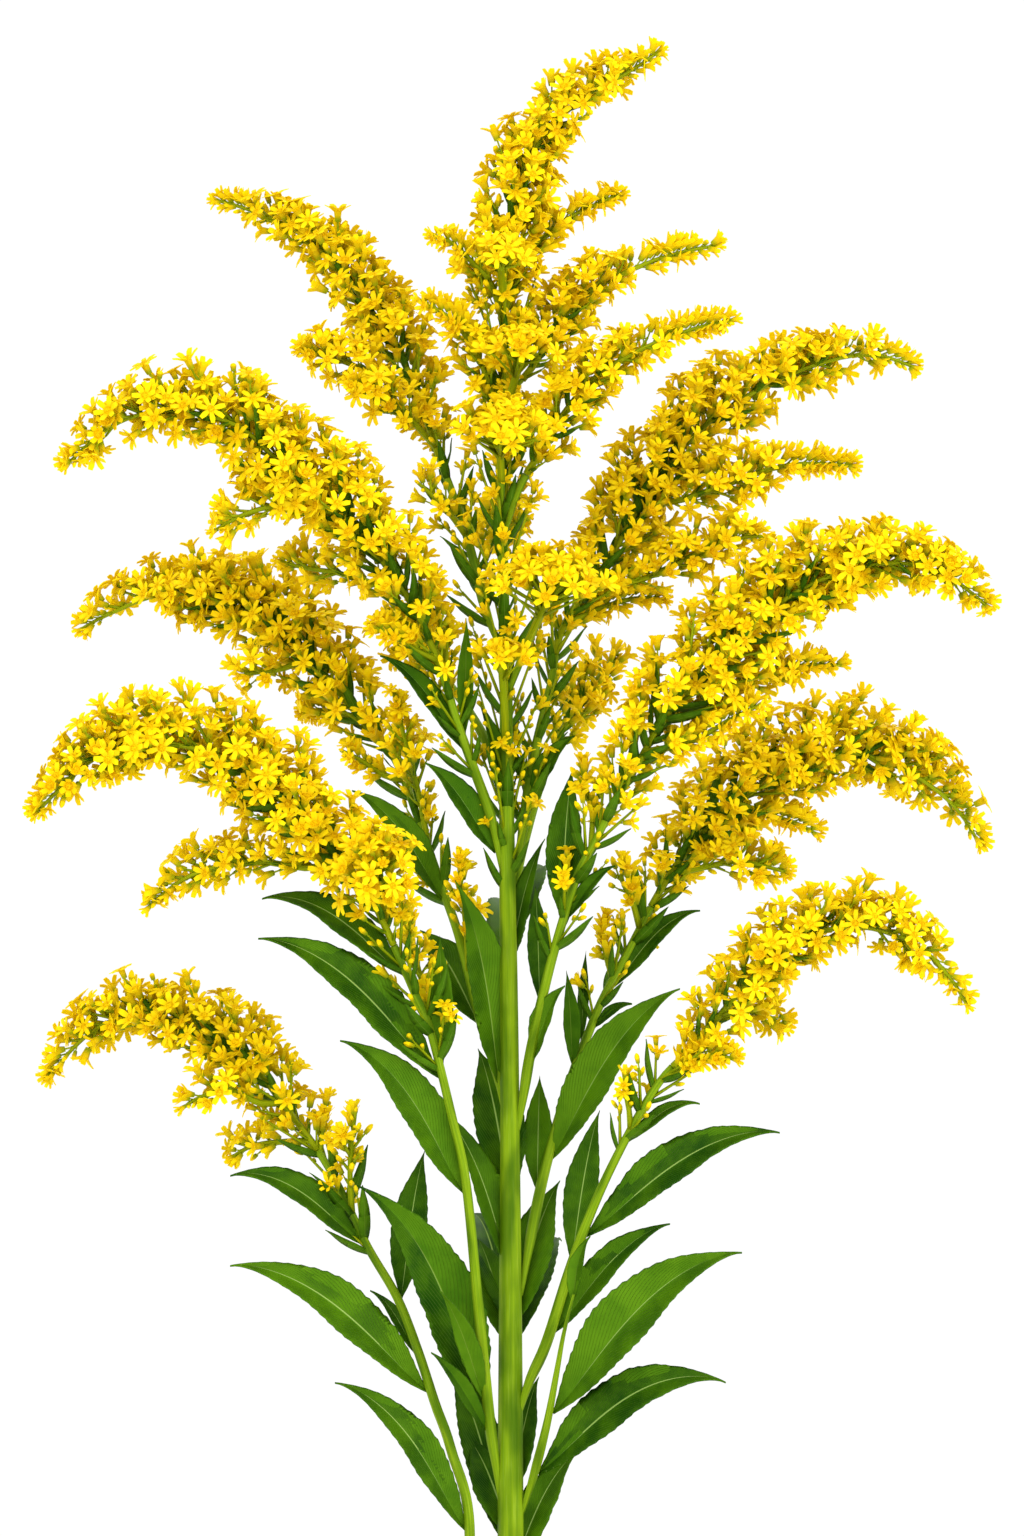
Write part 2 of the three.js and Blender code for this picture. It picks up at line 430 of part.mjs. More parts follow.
// An arched, folded blade with a toothed, waved edge, the same triangles on both faces
function leafSolid(root, tip, width, bow, turnDegrees) {
  const [start, end] = [new THREE.Vector3(...root), new THREE.Vector3(...tip)];
  const chord = end.clone().sub(start);
  const length = chord.length();
  const ahead = chord.clone().normalize();
  const upright = new THREE.Vector3(0, 0, 1).addScaledVector(ahead, -ahead.z).normalize();
  const forward = new THREE.Vector3(0, -1, 0).addScaledVector(ahead, ahead.y).normalize();
  const turn = THREE.MathUtils.degToRad(turnDegrees);
  const face = upright.clone().multiplyScalar(Math.sin(turn)).addScaledVector(forward, Math.cos(turn)).normalize();
  const small = width < smallWidth;
  const stations = small ? smallStations : bladeStations;
  const shares = small ? smallShares : bladeShares;
  const at = (t) => start.clone().addScaledVector(chord, t).addScaledVector(upright, 4 * bow * length * t * (1 - t));
  const points = [];
  const faces = [];
  stations.forEach((t, i) => {
    const onward = at(t + bladeNear).sub(at(t - bladeNear)).normalize();
    const side = new THREE.Vector3().crossVectors(face, onward).normalize();
    const up = new THREE.Vector3().crossVectors(onward, side);
    const tooth = 1 + (i % 2 ? bladeTooth : -bladeTooth);
    const half = (width / 2) * shares[i] * tooth;
    const wave = width * bladeWave * (i % 2 ? 1 : -1) * (i ? 1 : 0);
    const middle = at(t);
    const rib = midribBase + (midribTip - midribBase) * t;
    const left = middle.clone().addScaledVector(side, half).addScaledVector(up, half * bladeFold + wave);
    const right = middle.clone().addScaledVector(side, -half).addScaledVector(up, half * bladeFold - wave);
    points.push(left, middle, right);
    points.push(
      left.clone().addScaledVector(up, -bladeEdge),
      middle.clone().addScaledVector(up, -rib),
      right.clone().addScaledVector(up, -bladeEdge),
    );
  });
  const count = stations.length;
  const n = 6; // points of a station: three above, three below
  for (let k = 0; k < count - 1; k++) {
    const [l, m, r, lb, mb, rb] = [0, 1, 2, 3, 4, 5].map((j) => k * n + j);
    faces.push([l, m, m + n], [l, m + n, l + n], [m, r, r + n], [m, r + n, m + n]);
    faces.push([lb, mb + n, mb], [lb, lb + n, mb + n], [mb, rb + n, rb], [mb, mb + n, rb + n]);
    faces.push([lb, l, l + n], [lb, l + n, lb + n], [r, rb, rb + n], [r, rb + n, r + n]);
  }
  faces.push([0, 3, 4], [0, 4, 1], [1, 4, 5], [1, 5, 2]);
  const apex = points.length;
  const over = at(1);
  points.push(over, over.clone().addScaledVector(face, -bladeEdge));
  const b = (count - 1) * n;
  faces.push([b, b + 1, apex], [b + 1, b + 2, apex], [b + 3, apex + 1, b + 4], [b + 4, apex + 1, b + 5]);
  faces.push([b + 3, b, apex], [b + 3, apex, apex + 1], [b + 2, b + 5, apex + 1], [b + 2, apex + 1, apex]);
  return fromLists(points, faces);
}

// A spray: a slim axis whose every cell rises into a four-petalled floret with a raised disc
function spraySolid(curve, first, bareLength, reach, sides, draw) {
  const length = curve.getLength();
  const span = length - first - tipRadius;
  const reachAt = (v) => reach * along(sprayShape, v);
  const places = [];
  let place = bareLength;
  while (place < span - cellLeast) {
    places.push(place);
    place += Math.max(cellLeast, reachAt(place / span) * cellPerRadius + cellMore);
  }
  const stretch = (span - bareLength) / (place - bareLength);
  const stops = places.map((p) => bareLength + (p - bareLength) * stretch);
  stops.push(span);
  if (bareLength > 0) stops.unshift(0);
  const bareRows = bareLength > 0 ? 1 : 0;
  const frames = stops.map((s) => frameAt(curve, (first + s) / length));
  const radii = stops.map((s, k) => {
    if (k <= bareRows) return neckRadius;
    if (k === stops.length - 1) return tipRadius;
    return Math.max(1, reachAt(s / span) * coreShare);
  });
  const points = [];
  const faces = [];
  frames.forEach((frame, k) => points.push(...ringAt(frame, radii[k], sides, (k * Math.PI) / sides)));
  const raised = (mid, low, high, rise, shift) => {
    const axis = low.middle.clone().lerp(high.middle, 0.5);
    const ahead = high.middle.clone().sub(low.middle).normalize();
    const out = mid.clone().sub(axis);
    out.addScaledVector(ahead, -out.dot(ahead)).normalize();
    return mid.clone().add(shift).addScaledVector(out, rise).addScaledVector(ahead, rise * petalLean);
  };
  for (let k = 0; k < frames.length - 1; k++) {
    for (let j = 0; j < sides; j++) {
      const corner = [k * sides + j, k * sides + ((j + 1) % sides)];
      corner.push(corner[1] + sides, corner[0] + sides);
      if (k < bareRows) {
        faces.push([corner[0], corner[1], corner[2]], [corner[0], corner[2], corner[3]]);
        continue;
      }
      const c = corner.map((i) => points[i]);
      const centre = new THREE.Vector3().add(c[0]).add(c[1]).add(c[2]).add(c[3]).multiplyScalar(0.25);
      const [low, high] = [frames[k], frames[k + 1]];
      const v = (stops[k] + stops[k + 1]) / (2 * span);
      const rise = reachAt(v) * (1 - coreShare);
      const hub = points.length;
      points.push(raised(centre, low, high, rise * discHeight, new THREE.Vector3()));
      const vAt = [stops[k] / span, v, stops[k + 1] / span, v];
      const ends = [[low, low], [low, high], [high, high], [low, high]];
      for (let i = 0; i < 4; i++) {
        const mid = c[i].clone().add(c[(i + 1) % 4]).multiplyScalar(0.5);
        const shift = centre.clone().sub(mid).multiplyScalar(petalInset);
        const height = reachAt(vAt[i]) * (1 - coreShare) * (1 + petalJitter * (2 * draw() - 1));
        const [a, b] = ends[i];
        const next = a === b ? { middle: a.middle.clone().add(a.ahead) } : b;
        points.push(raised(mid, a === b ? { middle: a.middle.clone().sub(a.ahead) } : a, next, height, shift));
        const tipIndex = points.length - 1;
        faces.push([corner[i], corner[(i + 1) % 4], tipIndex]);
        faces.push([corner[i], tipIndex, hub], [tipIndex, corner[(i + 1) % 4], hub]);
      }
    }
  }
  for (let j = 1; j < sides - 1; j++) faces.push([0, j + 1, j]);
  const lastRing = (frames.length - 1) * sides;
  const end = frames[frames.length - 1];
  points.push(end.middle.clone().addScaledVector(end.ahead, tipRadius));
  for (let j = 0; j < sides; j++) faces.push([lastRing + j, lastRing + ((j + 1) % sides), points.length - 1]);
  return fromLists(points, faces);
}

const stalkShape = new Map(stalks.map((s) => [s[1], s]));

// How far along its line a side spray's neck first stands clear of the stem's surface
function besideStem(curve, owner, sides) {
  const [, , end, rootRadius, endRadius] = stalkShape.get(owner);
  const stem = curves[owner].getSpacedPoints(stemSamples);
  const radii = stem.map((_, i) => {
    const share = Math.min(1, i / stemSamples / end);
    return rootRadius + (endRadius - rootRadius) * share;
  });
  const length = curve.getLength();
  let place = 0;
  let gap = -1;
  while (gap < seat) {
    place += seatStep;
    const ring = ringAt(frameAt(curve, place / length), neckRadius, sides, 0);
    gap = Math.min(...ring.map((p) => Math.min(...stem.map((q, i) => p.distanceTo(q) - radii[i]))));
  }
  return place;
}

// Pot: one closed profile, drain hole in the floor
const bodyAt = (z) => potBaseRadius + ((potBodyRadius - potBaseRadius) * z) / potHeight;
const bandZ = potHeight - rimBand;
const potProfile = [
  [drainRadius, 0], [potBaseRadius - potEdge, 0], [bodyAt(potEdge), potEdge], [bodyAt(bandZ), bandZ],
  [bodyAt(bandZ) + bandProud, bandZ + 1], [potRimRadius, potHeight - potEdge], [potRimRadius - potEdge, potHeight],
  [bodyAt(potHeight) - potWall + 1, potHeight], [bodyAt(potHeight) - potWall, potHeight - potEdge],
  [bodyAt(potWall) - potWall, potWall], [drainRadius, potWall], [drainRadius, 0],
].map(([r, z]) => new THREE.Vector2(r, z));
const potGeometry = new THREE.LatheGeometry(potProfile, potSegments).rotateX(Math.PI / 2);
nodes.set('pot', [toSolid(potGeometry), 'clay']);

// Soil: fills the pot to below the rim, a low uneven mound on top
const innerAt = (z) => bodyAt(z) - potWall - seat;
const soilProfile = [
  [0, potWall + seat], [innerAt(potWall + seat) - 0.5, potWall + seat], [innerAt(soilTop), soilTop],
  [innerAt(soilTop) * 0.55, soilTop + soilMound * 0.8],
  [0, soilTop + soilMound],
].map(([r, z]) => new THREE.Vector2(r, z));
const soilGeometry = new THREE.LatheGeometry(soilProfile, potSegments).rotateX(Math.PI / 2);
const soilPoints = soilGeometry.attributes.position;
for (let i = 0; i < soilPoints.count; i++) {
  const [x, y, z] = [soilPoints.getX(i), soilPoints.getY(i), soilPoints.getZ(i)];
  if (z > soilTop + 0.1) soilPoints.setZ(i, z + soilRough * Math.sin(x * 0.21 + 1.3) * Math.cos(y * 0.17 - 0.4));
}
let soil = toSolid(soilGeometry);

// Stems with their leaves
const clearOf = (line) => stemSolid(curves[line], ...stalkShape.get(line).slice(2), seat);
for (const line of ['main', 'L5']) soil = soil.subtract(clearOf(line));
nodes.set('soil', [soil, 'soil']);
for (const [node, line, ...shape] of stalks) {
  let stem = stemSolid(curves[line], ...shape);
  if (line === 'main') {
    for (const [twig, share, radius] of mainTwigs) {
      stem = stem.add(stemSolid(curves[twig], share, radius, radius * 0.8, 4, 16));
    }
  }
  for (const [owner, root, tip, width, bow, turn] of leaves) {
    if (owner === line) stem = stem.add(leafSolid(root, tip, width, bow, turn));
  }
  if (line !== 'main' && line !== 'L5') stem = stem.subtract(clearOf('main'));
  nodes.set(node, [stem, 'stem']);
}

// Flower sprays
sprays.forEach(([node, line, start, reach, sides, owner, joined], index) => {
  const draw = drawFrom(1000 + index);
  const curve = curves[line];
  const first = owner ? besideStem(curve, owner, sides) : start * curve.getLength() + seat;
  let spray = spraySolid(curve, first, owner ? bareNeck : 0, reach, sides, draw);
  for (const [side, bareLength, sideReach, sideSides] of joined) {
    spray = spray.add(spraySolid(curves[side], 0, bareLength, sideReach, sideSides, draw));
  }
  nodes.set(node, [spray, 'flower']);
});

for (const [name, [solid, colour]] of nodes) {
  const mesh = new THREE.Mesh(toGeometry(solid), colours[colour].clone());
  mesh.name = name;
  model.add(mesh);
}

export default model;
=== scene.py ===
import bisect
import math
import random

import bmesh
import bpy
from mathutils import Matrix, Vector


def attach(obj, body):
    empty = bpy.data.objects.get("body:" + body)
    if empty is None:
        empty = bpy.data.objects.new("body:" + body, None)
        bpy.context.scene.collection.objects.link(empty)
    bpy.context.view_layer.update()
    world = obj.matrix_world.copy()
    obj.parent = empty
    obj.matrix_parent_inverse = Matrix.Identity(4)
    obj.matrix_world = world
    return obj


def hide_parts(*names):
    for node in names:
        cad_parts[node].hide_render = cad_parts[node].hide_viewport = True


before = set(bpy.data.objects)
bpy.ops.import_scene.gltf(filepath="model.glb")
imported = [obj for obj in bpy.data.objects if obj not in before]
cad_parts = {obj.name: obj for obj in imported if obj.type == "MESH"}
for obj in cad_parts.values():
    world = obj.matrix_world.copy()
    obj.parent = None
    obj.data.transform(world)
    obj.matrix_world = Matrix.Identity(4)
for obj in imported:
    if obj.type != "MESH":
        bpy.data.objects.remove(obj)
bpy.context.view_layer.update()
print("frame loaded,", len(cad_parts), "nodes")

mm = 0.001
up = Vector((0, 0, 1))
towardsViewer = Vector((0, -1, 0))
goldenTurn = math.radians(137.5)

# Lines that stems and sprays follow, in millimetres, from root to tip
paths = {
    "main": [(0.4, 0, 82), (0.2, 0, 190), (0, 0, 299), (-0.8, 0, 369), (-1, 0, 403.3), (-1.8, 0.1, 434),
        (-1.8, 0.6, 474), (-1.8, 1, 491.5), (-0.8, 1.7, 511.1), (1.8, 2.5, 524.4), (4.3, 3.2, 533.5),
        (10, 4.2, 542), (18.5, 5.6, 550.1), (26.6, 7, 554.8), (33.4, 8.4, 558.9), (39.2, 10, 563.5)],
    "L1": [(-1.8, 0, 410), (-6.3, 2.1, 422), (-9, 4.5, 433.3), (-12, 7.1, 444.2), (-17.6, 11.1, 459.6),
        (-24.2, 16.4, 478.7), (-31, 20.4, 491.4), (-37.9, 23.8, 501.4), (-45.5, 27.5, 511.7),
        (-55.7, 31.2, 518.8), (-65.9, 34.6, 523.5), (-76.7, 38, 526.8)],
    "L2": [(-2, 0, 355.8), (-4.5, -2.6, 369), (-9, -5.6, 381.8), (-13, -8.4, 393), (-17.9, -12.3, 408.6),
        (-24.3, -16.2, 422.5), (-31.2, -19.4, 432.8), (-37.6, -22, 440.7), (-45.5, -24.9, 448.6),
        (-58, -29.2, 458.6), (-65.9, -32.1, 465.6), (-73.7, -34.4, 468.5), (-82.9, -37, 470.1),
        (-91.5, -39.4, 468.8), (-98.5, -41.6, 465.5), (-104.5, -43.8, 460.5), (-110.1, -46, 454.8)],
    "L3": [(-0.5, 0, 290.2), (-2.3, 2.4, 302.2), (-5, 4.7, 311.6), (-8, 7, 321.1), (-12.8, 11.8, 339.8),
        (-17.6, 15.5, 353.3), (-23.4, 20.1, 369.9), (-29.3, 24.3, 384.5), (-37.7, 27.7, 394.4),
        (-45.8, 31.2, 404.3), (-53, 34.3, 412.9), (-61.2, 37, 418.6), (-69.4, 39.5, 422.7),
        (-78.4, 42.2, 426), (-85.8, 44.2, 426.6), (-94, 46.6, 424.8), (-100.5, 48.5, 422),
        (-106.4, 50.4, 419.3), (-111.4, 52, 416.2)],
    "L4": [(-2.5, 0, 199), (-3.5, -1.4, 207.6), (-5.2, -3.9, 220.3), (-8, -10.1, 249.6),
        (-10.9, -16.8, 279), (-14.1, -20.5, 294.5), (-19.5, -25.9, 316.5), (-23, -28.1, 325.2),
        (-28.6, -31.6, 338.1), (-33.5, -34.5, 348.5), (-39.9, -37.2, 357.4), (-46.2, -39.5, 363.8),
        (-52.6, -42, 370.9), (-59.6, -44.3, 376.6), (-68.4, -47.1, 383), (-77.8, -49.8, 386.9),
        (-86.6, -52.1, 388.1), (-95, -54.4, 386.9), (-102.3, -56.5, 383.7), (-107.6, -58.4, 379.1),
        (-113.1, -60.5, 373.5), (-116.9, -62, 369.3)],
    "L5": [(-15, -9, 84), (-14, -9, 140), (-10, -8, 190.6), (-14.7, -6.8, 212.2), (-18.7, -5.6, 223.6),
        (-23, -3.9, 236.7), (-28.2, -1.7, 249.8), (-35.8, 0.8, 262.7), (-45.1, 4.9, 281.3),
        (-55.5, 8.9, 295.9), (-64.8, 12.4, 307.1), (-73.5, 15, 312.8), (-82.9, 17.8, 317.3),
        (-92.5, 20.5, 320.2), (-101, 23, 318.1), (-107.6, 25.3, 313.8), (-113.6, 27.8, 307.6),
        (-117.5, 30, 301.5)],
    "R1a": [(-1.8, 0, 473.5), (5, 3.5, 481.6), (9, 5.9, 487.8), (15.3, 9.8, 497.7), (21.9, 12.6, 502.9),
        (35.3, 17.5, 509.4), (45.4, 21, 512.6), (54.3, 24, 514.1)],
    "R1b": [(-1.8, 0, 439), (1.7, -3.6, 450.4), (5.2, -5.9, 457.1), (9.7, -8.2, 463.5),
        (13.7, -10.7, 470.6), (21.6, -14.3, 479.4), (32.3, -18, 485.7), (44.6, -22, 490.5),
        (57.4, -26, 493.3)],
    "R2": [(0.8, 0, 354), (2.8, 1.8, 364), (5.8, 6, 384), (10.5, 10.6, 404.1), (12.1, 13, 414.2),
        (16.1, 15.1, 422.3), (20.6, 16.8, 428.1), (26.5, 19.4, 437.2), (32.8, 22.5, 448.4),
        (39.2, 25.1, 457.3), (48.1, 28.4, 467.5), (58.3, 31.6, 475.2), (71, 35.1, 481.7),
        (83.8, 38.5, 486.1), (94.1, 41.1, 486.8), (104.9, 44, 483.3)],
    "R3": [(1.5, 0, 289), (3.2, -1.8, 299.1), (5.5, -4.6, 312.9), (10.2, -9.1, 333.4), (16.4, -14, 354.2),
        (21.6, -16.7, 364.6), (26.3, -19.2, 374.1), (32.2, -22, 384), (37.1, -24.4, 392.6),
        (44.5, -27.2, 401.3), (54.3, -30.7, 411.1), (61.6, -33.3, 418.5), (71.4, -36.5, 425.8),
        (83.6, -39.9, 430.7), (95.8, -43.1, 432.3), (107.9, -46.4, 428.6), (118.5, -50, 420.2)],
    "R4": [(2.8, 0, 250.2), (4.8, 2.6, 262.4), (9, 7.5, 282.2), (15.3, 13.2, 303.6), (19.6, 16.4, 314.8),
        (23.4, 19.1, 323.8), (30, 22.9, 336.1), (36.6, 26.8, 348.6), (43, 30.2, 358.7), (52, 34, 368.8),
        (63.5, 38.1, 377.7), (73.7, 41.3, 382.8), (86.6, 45.1, 385.8), (99.5, 49, 382),
        (109.8, 52.5, 375.6), (116.4, 55.2, 368.7), (121.1, 58, 360.5)],
    "R5": [(1.5, 0, 217.8), (4.7, -2.2, 228.4), (9.2, -4.8, 238.8), (15.7, -10, 259.5),
        (23.1, -15.2, 278.4), (32.5, -20.7, 297), (38.4, -23.7, 306), (44.3, -26, 312),
        (51.9, -29.3, 321), (57.2, -31.6, 327.2), (66.5, -35.2, 335.9), (76.3, -38.5, 341.7),
        (88.4, -42.1, 342.7), (100.5, -46, 337.9), (107.8, -49.1, 330.6), (112.8, -52, 322.3)],
    "R6": [(2.5, 0, 194), (6, -3.3, 205.7), (9.2, -6.7, 218.5), (11.5, -10.1, 230.9), (13.4, -13, 241.5),
        (16.1, -16, 252.4)],
    "L0a": [(-1.7, 1.1, 493.9), (-4.7, -4, 502.8), (-9.5, -7.7, 508.1), (-14.4, -11.2, 512.6),
        (-21.1, -14.9, 515.2)],
    "R0a": [(-1.7, 1.1, 494.8), (2.5, 4.8, 506.7), (5.3, 6.5, 511.9), (10, 8.5, 516.7),
        (16.1, 10.6, 520.9), (23.1, 12.9, 524.3), (29.9, 15.1, 527.2)],
    "L0b": [(-1.8, 0.5, 467), (-6, -3.4, 480.1), (-9.7, -5.8, 487.5), (-14.9, -8.3, 494.1),
        (-24.4, -11.5, 499.4)],
    "L1b": [(-24.2, 16.4, 478.7), (-37.4, 9.4, 482.4), (-43.6, 6, 484.5), (-50.8, 2.2, 486.1),
        (-54.3, 0.4, 486)],
    "L1c": [(-18.6, 11.9, 462.6), (-23.3, 6.9, 467.7), (-27.3, 2.8, 471.1), (-33.9, -3.5, 475.4),
        (-41.6, -10.1, 478.6)],
    "L1d": [(-10.8, 6.1, 440.2), (-15.3, 1.8, 446), (-19.7, -2.1, 450.4), (-24.4, -5.9, 454.3)],
    "R2b": [(32.8, 22.5, 448.4), (42.8, 18.6, 449.5), (52.8, 14.5, 452.7), (70.2, 7.4, 458),
        (88, 0.5, 457.5)],
    "R2c": [(20.6, 16.8, 428.1), (32.7, 13.3, 429.3), (47.7, 8.5, 436.2), (57.6, 5.4, 439.6),
        (66.3, 2.8, 440.1)],
    "R2d": [(13.7, 14, 418.1), (25.2, 19.2, 423.1), (32.8, 22.5, 424.9), (40.9, 26, 424.5)],
    "L2b": [(-42.2, -23.7, 445.5), (-50.2, -25.6, 445.3), (-58.1, -27.5, 446.5), (-64.2, -28.9, 445.2),
        (-70.6, -30.6, 442), (-74.5, -31.7, 439.2)],
    "L2c": [(-27.2, -17.6, 427.2), (-35.3, -14.1, 428), (-42.6, -10.9, 430.5), (-50.6, -7.4, 431.8),
        (-59.4, -3.6, 433.9)],
    "L2d": [(-17.9, -12.3, 408.6), (-23.6, -15.4, 411.3), (-28.3, -18.2, 414.5), (-35.9, -22.3, 417.7)],
    "R3b": [(44.5, -27.2, 401.3), (54.5, -23.3, 402.8), (69.5, -17.1, 407.1), (84.6, -11.2, 407.6)],
    "R3c": [(33.3, -22.5, 385.9), (44.5, -25.9, 388.4), (54.3, -29.2, 393.9), (64.1, -32.5, 398.8)],
    "L3b": [(-50.6, 33.3, 410.3), (-56.9, 29.1, 407.3), (-62.7, 25.6, 406.3), (-69.6, 21.3, 405)],
    "L3c": [(-37.7, 27.7, 394.4), (-44.4, 32.6, 396.2), (-49.5, 36.3, 396.7), (-54.1, 39.7, 395.2)],
    "R4b": [(40.5, 28.9, 355), (48, 25, 356.7), (58, 20, 358.3), (71.6, 12.9, 355.4)],
    "R4c": [(57.1, 35.9, 373.2), (66.1, 41.4, 370), (73.9, 46.1, 367.5), (79.6, 49.9, 364.1)],
    "L4b": [(-42, -38, 359.7), (-49.2, -36.5, 357.4), (-60.6, -34.4, 358.8), (-70.3, -32.6, 358.1),
        (-78.5, -30.9, 355.6), (-85.7, -29.3, 350.9), (-90.7, -28, 345.9)],
    "L4c": [(-35, -35.2, 350.9), (-33.3, -48.5, 354.6), (-31.7, -58.1, 357.1), (-30.9, -65.2, 359.1)],
    "R5b": [(47.4, -27.4, 315.7), (55.7, -21.7, 321.6), (63.3, -17.7, 320.7), (70.1, -13.4, 316.4)],
    "R5c": [(37.4, -23.3, 304.8), (46.9, -29.3, 310.4), (51.8, -32.1, 311), (57.2, -35.3, 309.6)],
    "L5b": [(-57.1, 9.5, 298.1), (-62.9, 7.1, 298), (-70.4, 3.6, 301.4), (-78.5, 0, 299.2),
        (-83.2, -2.5, 295.8)],
    "L5c": [(-49.8, 6.8, 288.5), (-57.3, 10.7, 288.1), (-64.9, 14.8, 286.9), (-71.6, 18.8, 283)],
    "S_L2": [(-13.7, -9, 395.3), (-15.7, -6.2, 403.9), (-17.5, -2.3, 416.5), (-20, 3, 433.6)],
    "S_L3a": [(-20.5, 17.8, 361.5), (-22.6, 13.1, 374), (-26.3, 7.4, 389), (-30, 1.8, 404)],
    "S_L3b": [(-10.3, 9.3, 330.2), (-11, 6, 341.4), (-12.5, 2.2, 354), (-13.2, -0.7, 363.5)],
    "S_L3c": [(-26.7, 22.6, 378.9), (-31.8, 20.5, 380.2), (-39, 16.9, 384.8), (-44, 14.6, 387)],
    "S_R3": [(20.2, -16, 362), (20.4, -12, 371.6), (18.4, -8.8, 379), (17.5, -6, 386)],
    "S_R4a": [(32.8, 24.6, 341.4), (30.7, 20, 348.7), (28.2, 16.7, 353.8), (28.1, 12.6, 360.9)],
    "S_R4b": [(26, 20.6, 328.7), (24.2, 24.3, 334.8), (23.3, 27.2, 339.8), (24.3, 30.6, 345.5)],
    "S_R5": [(29.9, -19.3, 292.3), (29.5, -21.4, 297.3), (28.5, -23.2, 302.3), (28.7, -25.3, 308.3)],
    "S_L4": [(-19.3, -25.7, 315.8), (-21.6, -17.6, 327.4), (-23.6, -11.5, 336.2), (-25.2, -3.7, 347.8)],
    "S_L5a": [(-39.5, 2.4, 270.2), (-40, -1.6, 281.6), (-39.4, -4.2, 289.2), (-38.1, -7.6, 298.5)],
    "S_L5b": [(-47.6, 6, 285.3), (-47.2, 8.8, 291.2), (-46.5, 11.1, 296.1), (-46, 14, 302.3)],
    "F1": [(-1.8, 0, 497.5), (-2, -7, 502.4), (-2.2, -15, 505.7), (-2, -26, 507.1)],
    "F2": [(-1.8, 0, 467), (0.3, -9, 475.6), (2.5, -18, 482.2), (3.2, -30, 483.2)],
    "F3": [(-1.8, 0, 446), (-2.2, -10, 454.9), (-2.5, -22, 460.8), (-2.4, -40, 462.1)],
    "F4": [(-1, 0, 399), (3.7, -10, 411.4), (8.2, -24, 421.1), (11.3, -46, 425.6)],
    "F5": [(-1, 0, 388.5), (-1.2, -9, 395.2), (-2, -16, 405.1), (-2, -28, 408.2)],
    "G1": [(-1.8, 0, 454), (-1.3, 12, 464.4), (-0.5, 28, 472.5), (0, 50, 475.4)],
    "G2": [(-1.5, 0, 422.5), (-1.5, 10, 430.5), (-2.5, 28, 439.7), (-3.6, 66, 447.8)],
    "G3": [(-0.5, 0, 340.2), (3, 15, 361.4), (12.7, 40, 390.4), (28.8, 70, 413.6)],
    "G4": [(-0.8, 0, 374), (-7.5, 14, 391.6), (-20.3, 36, 409.4), (-32.1, 68, 421.3)],
}

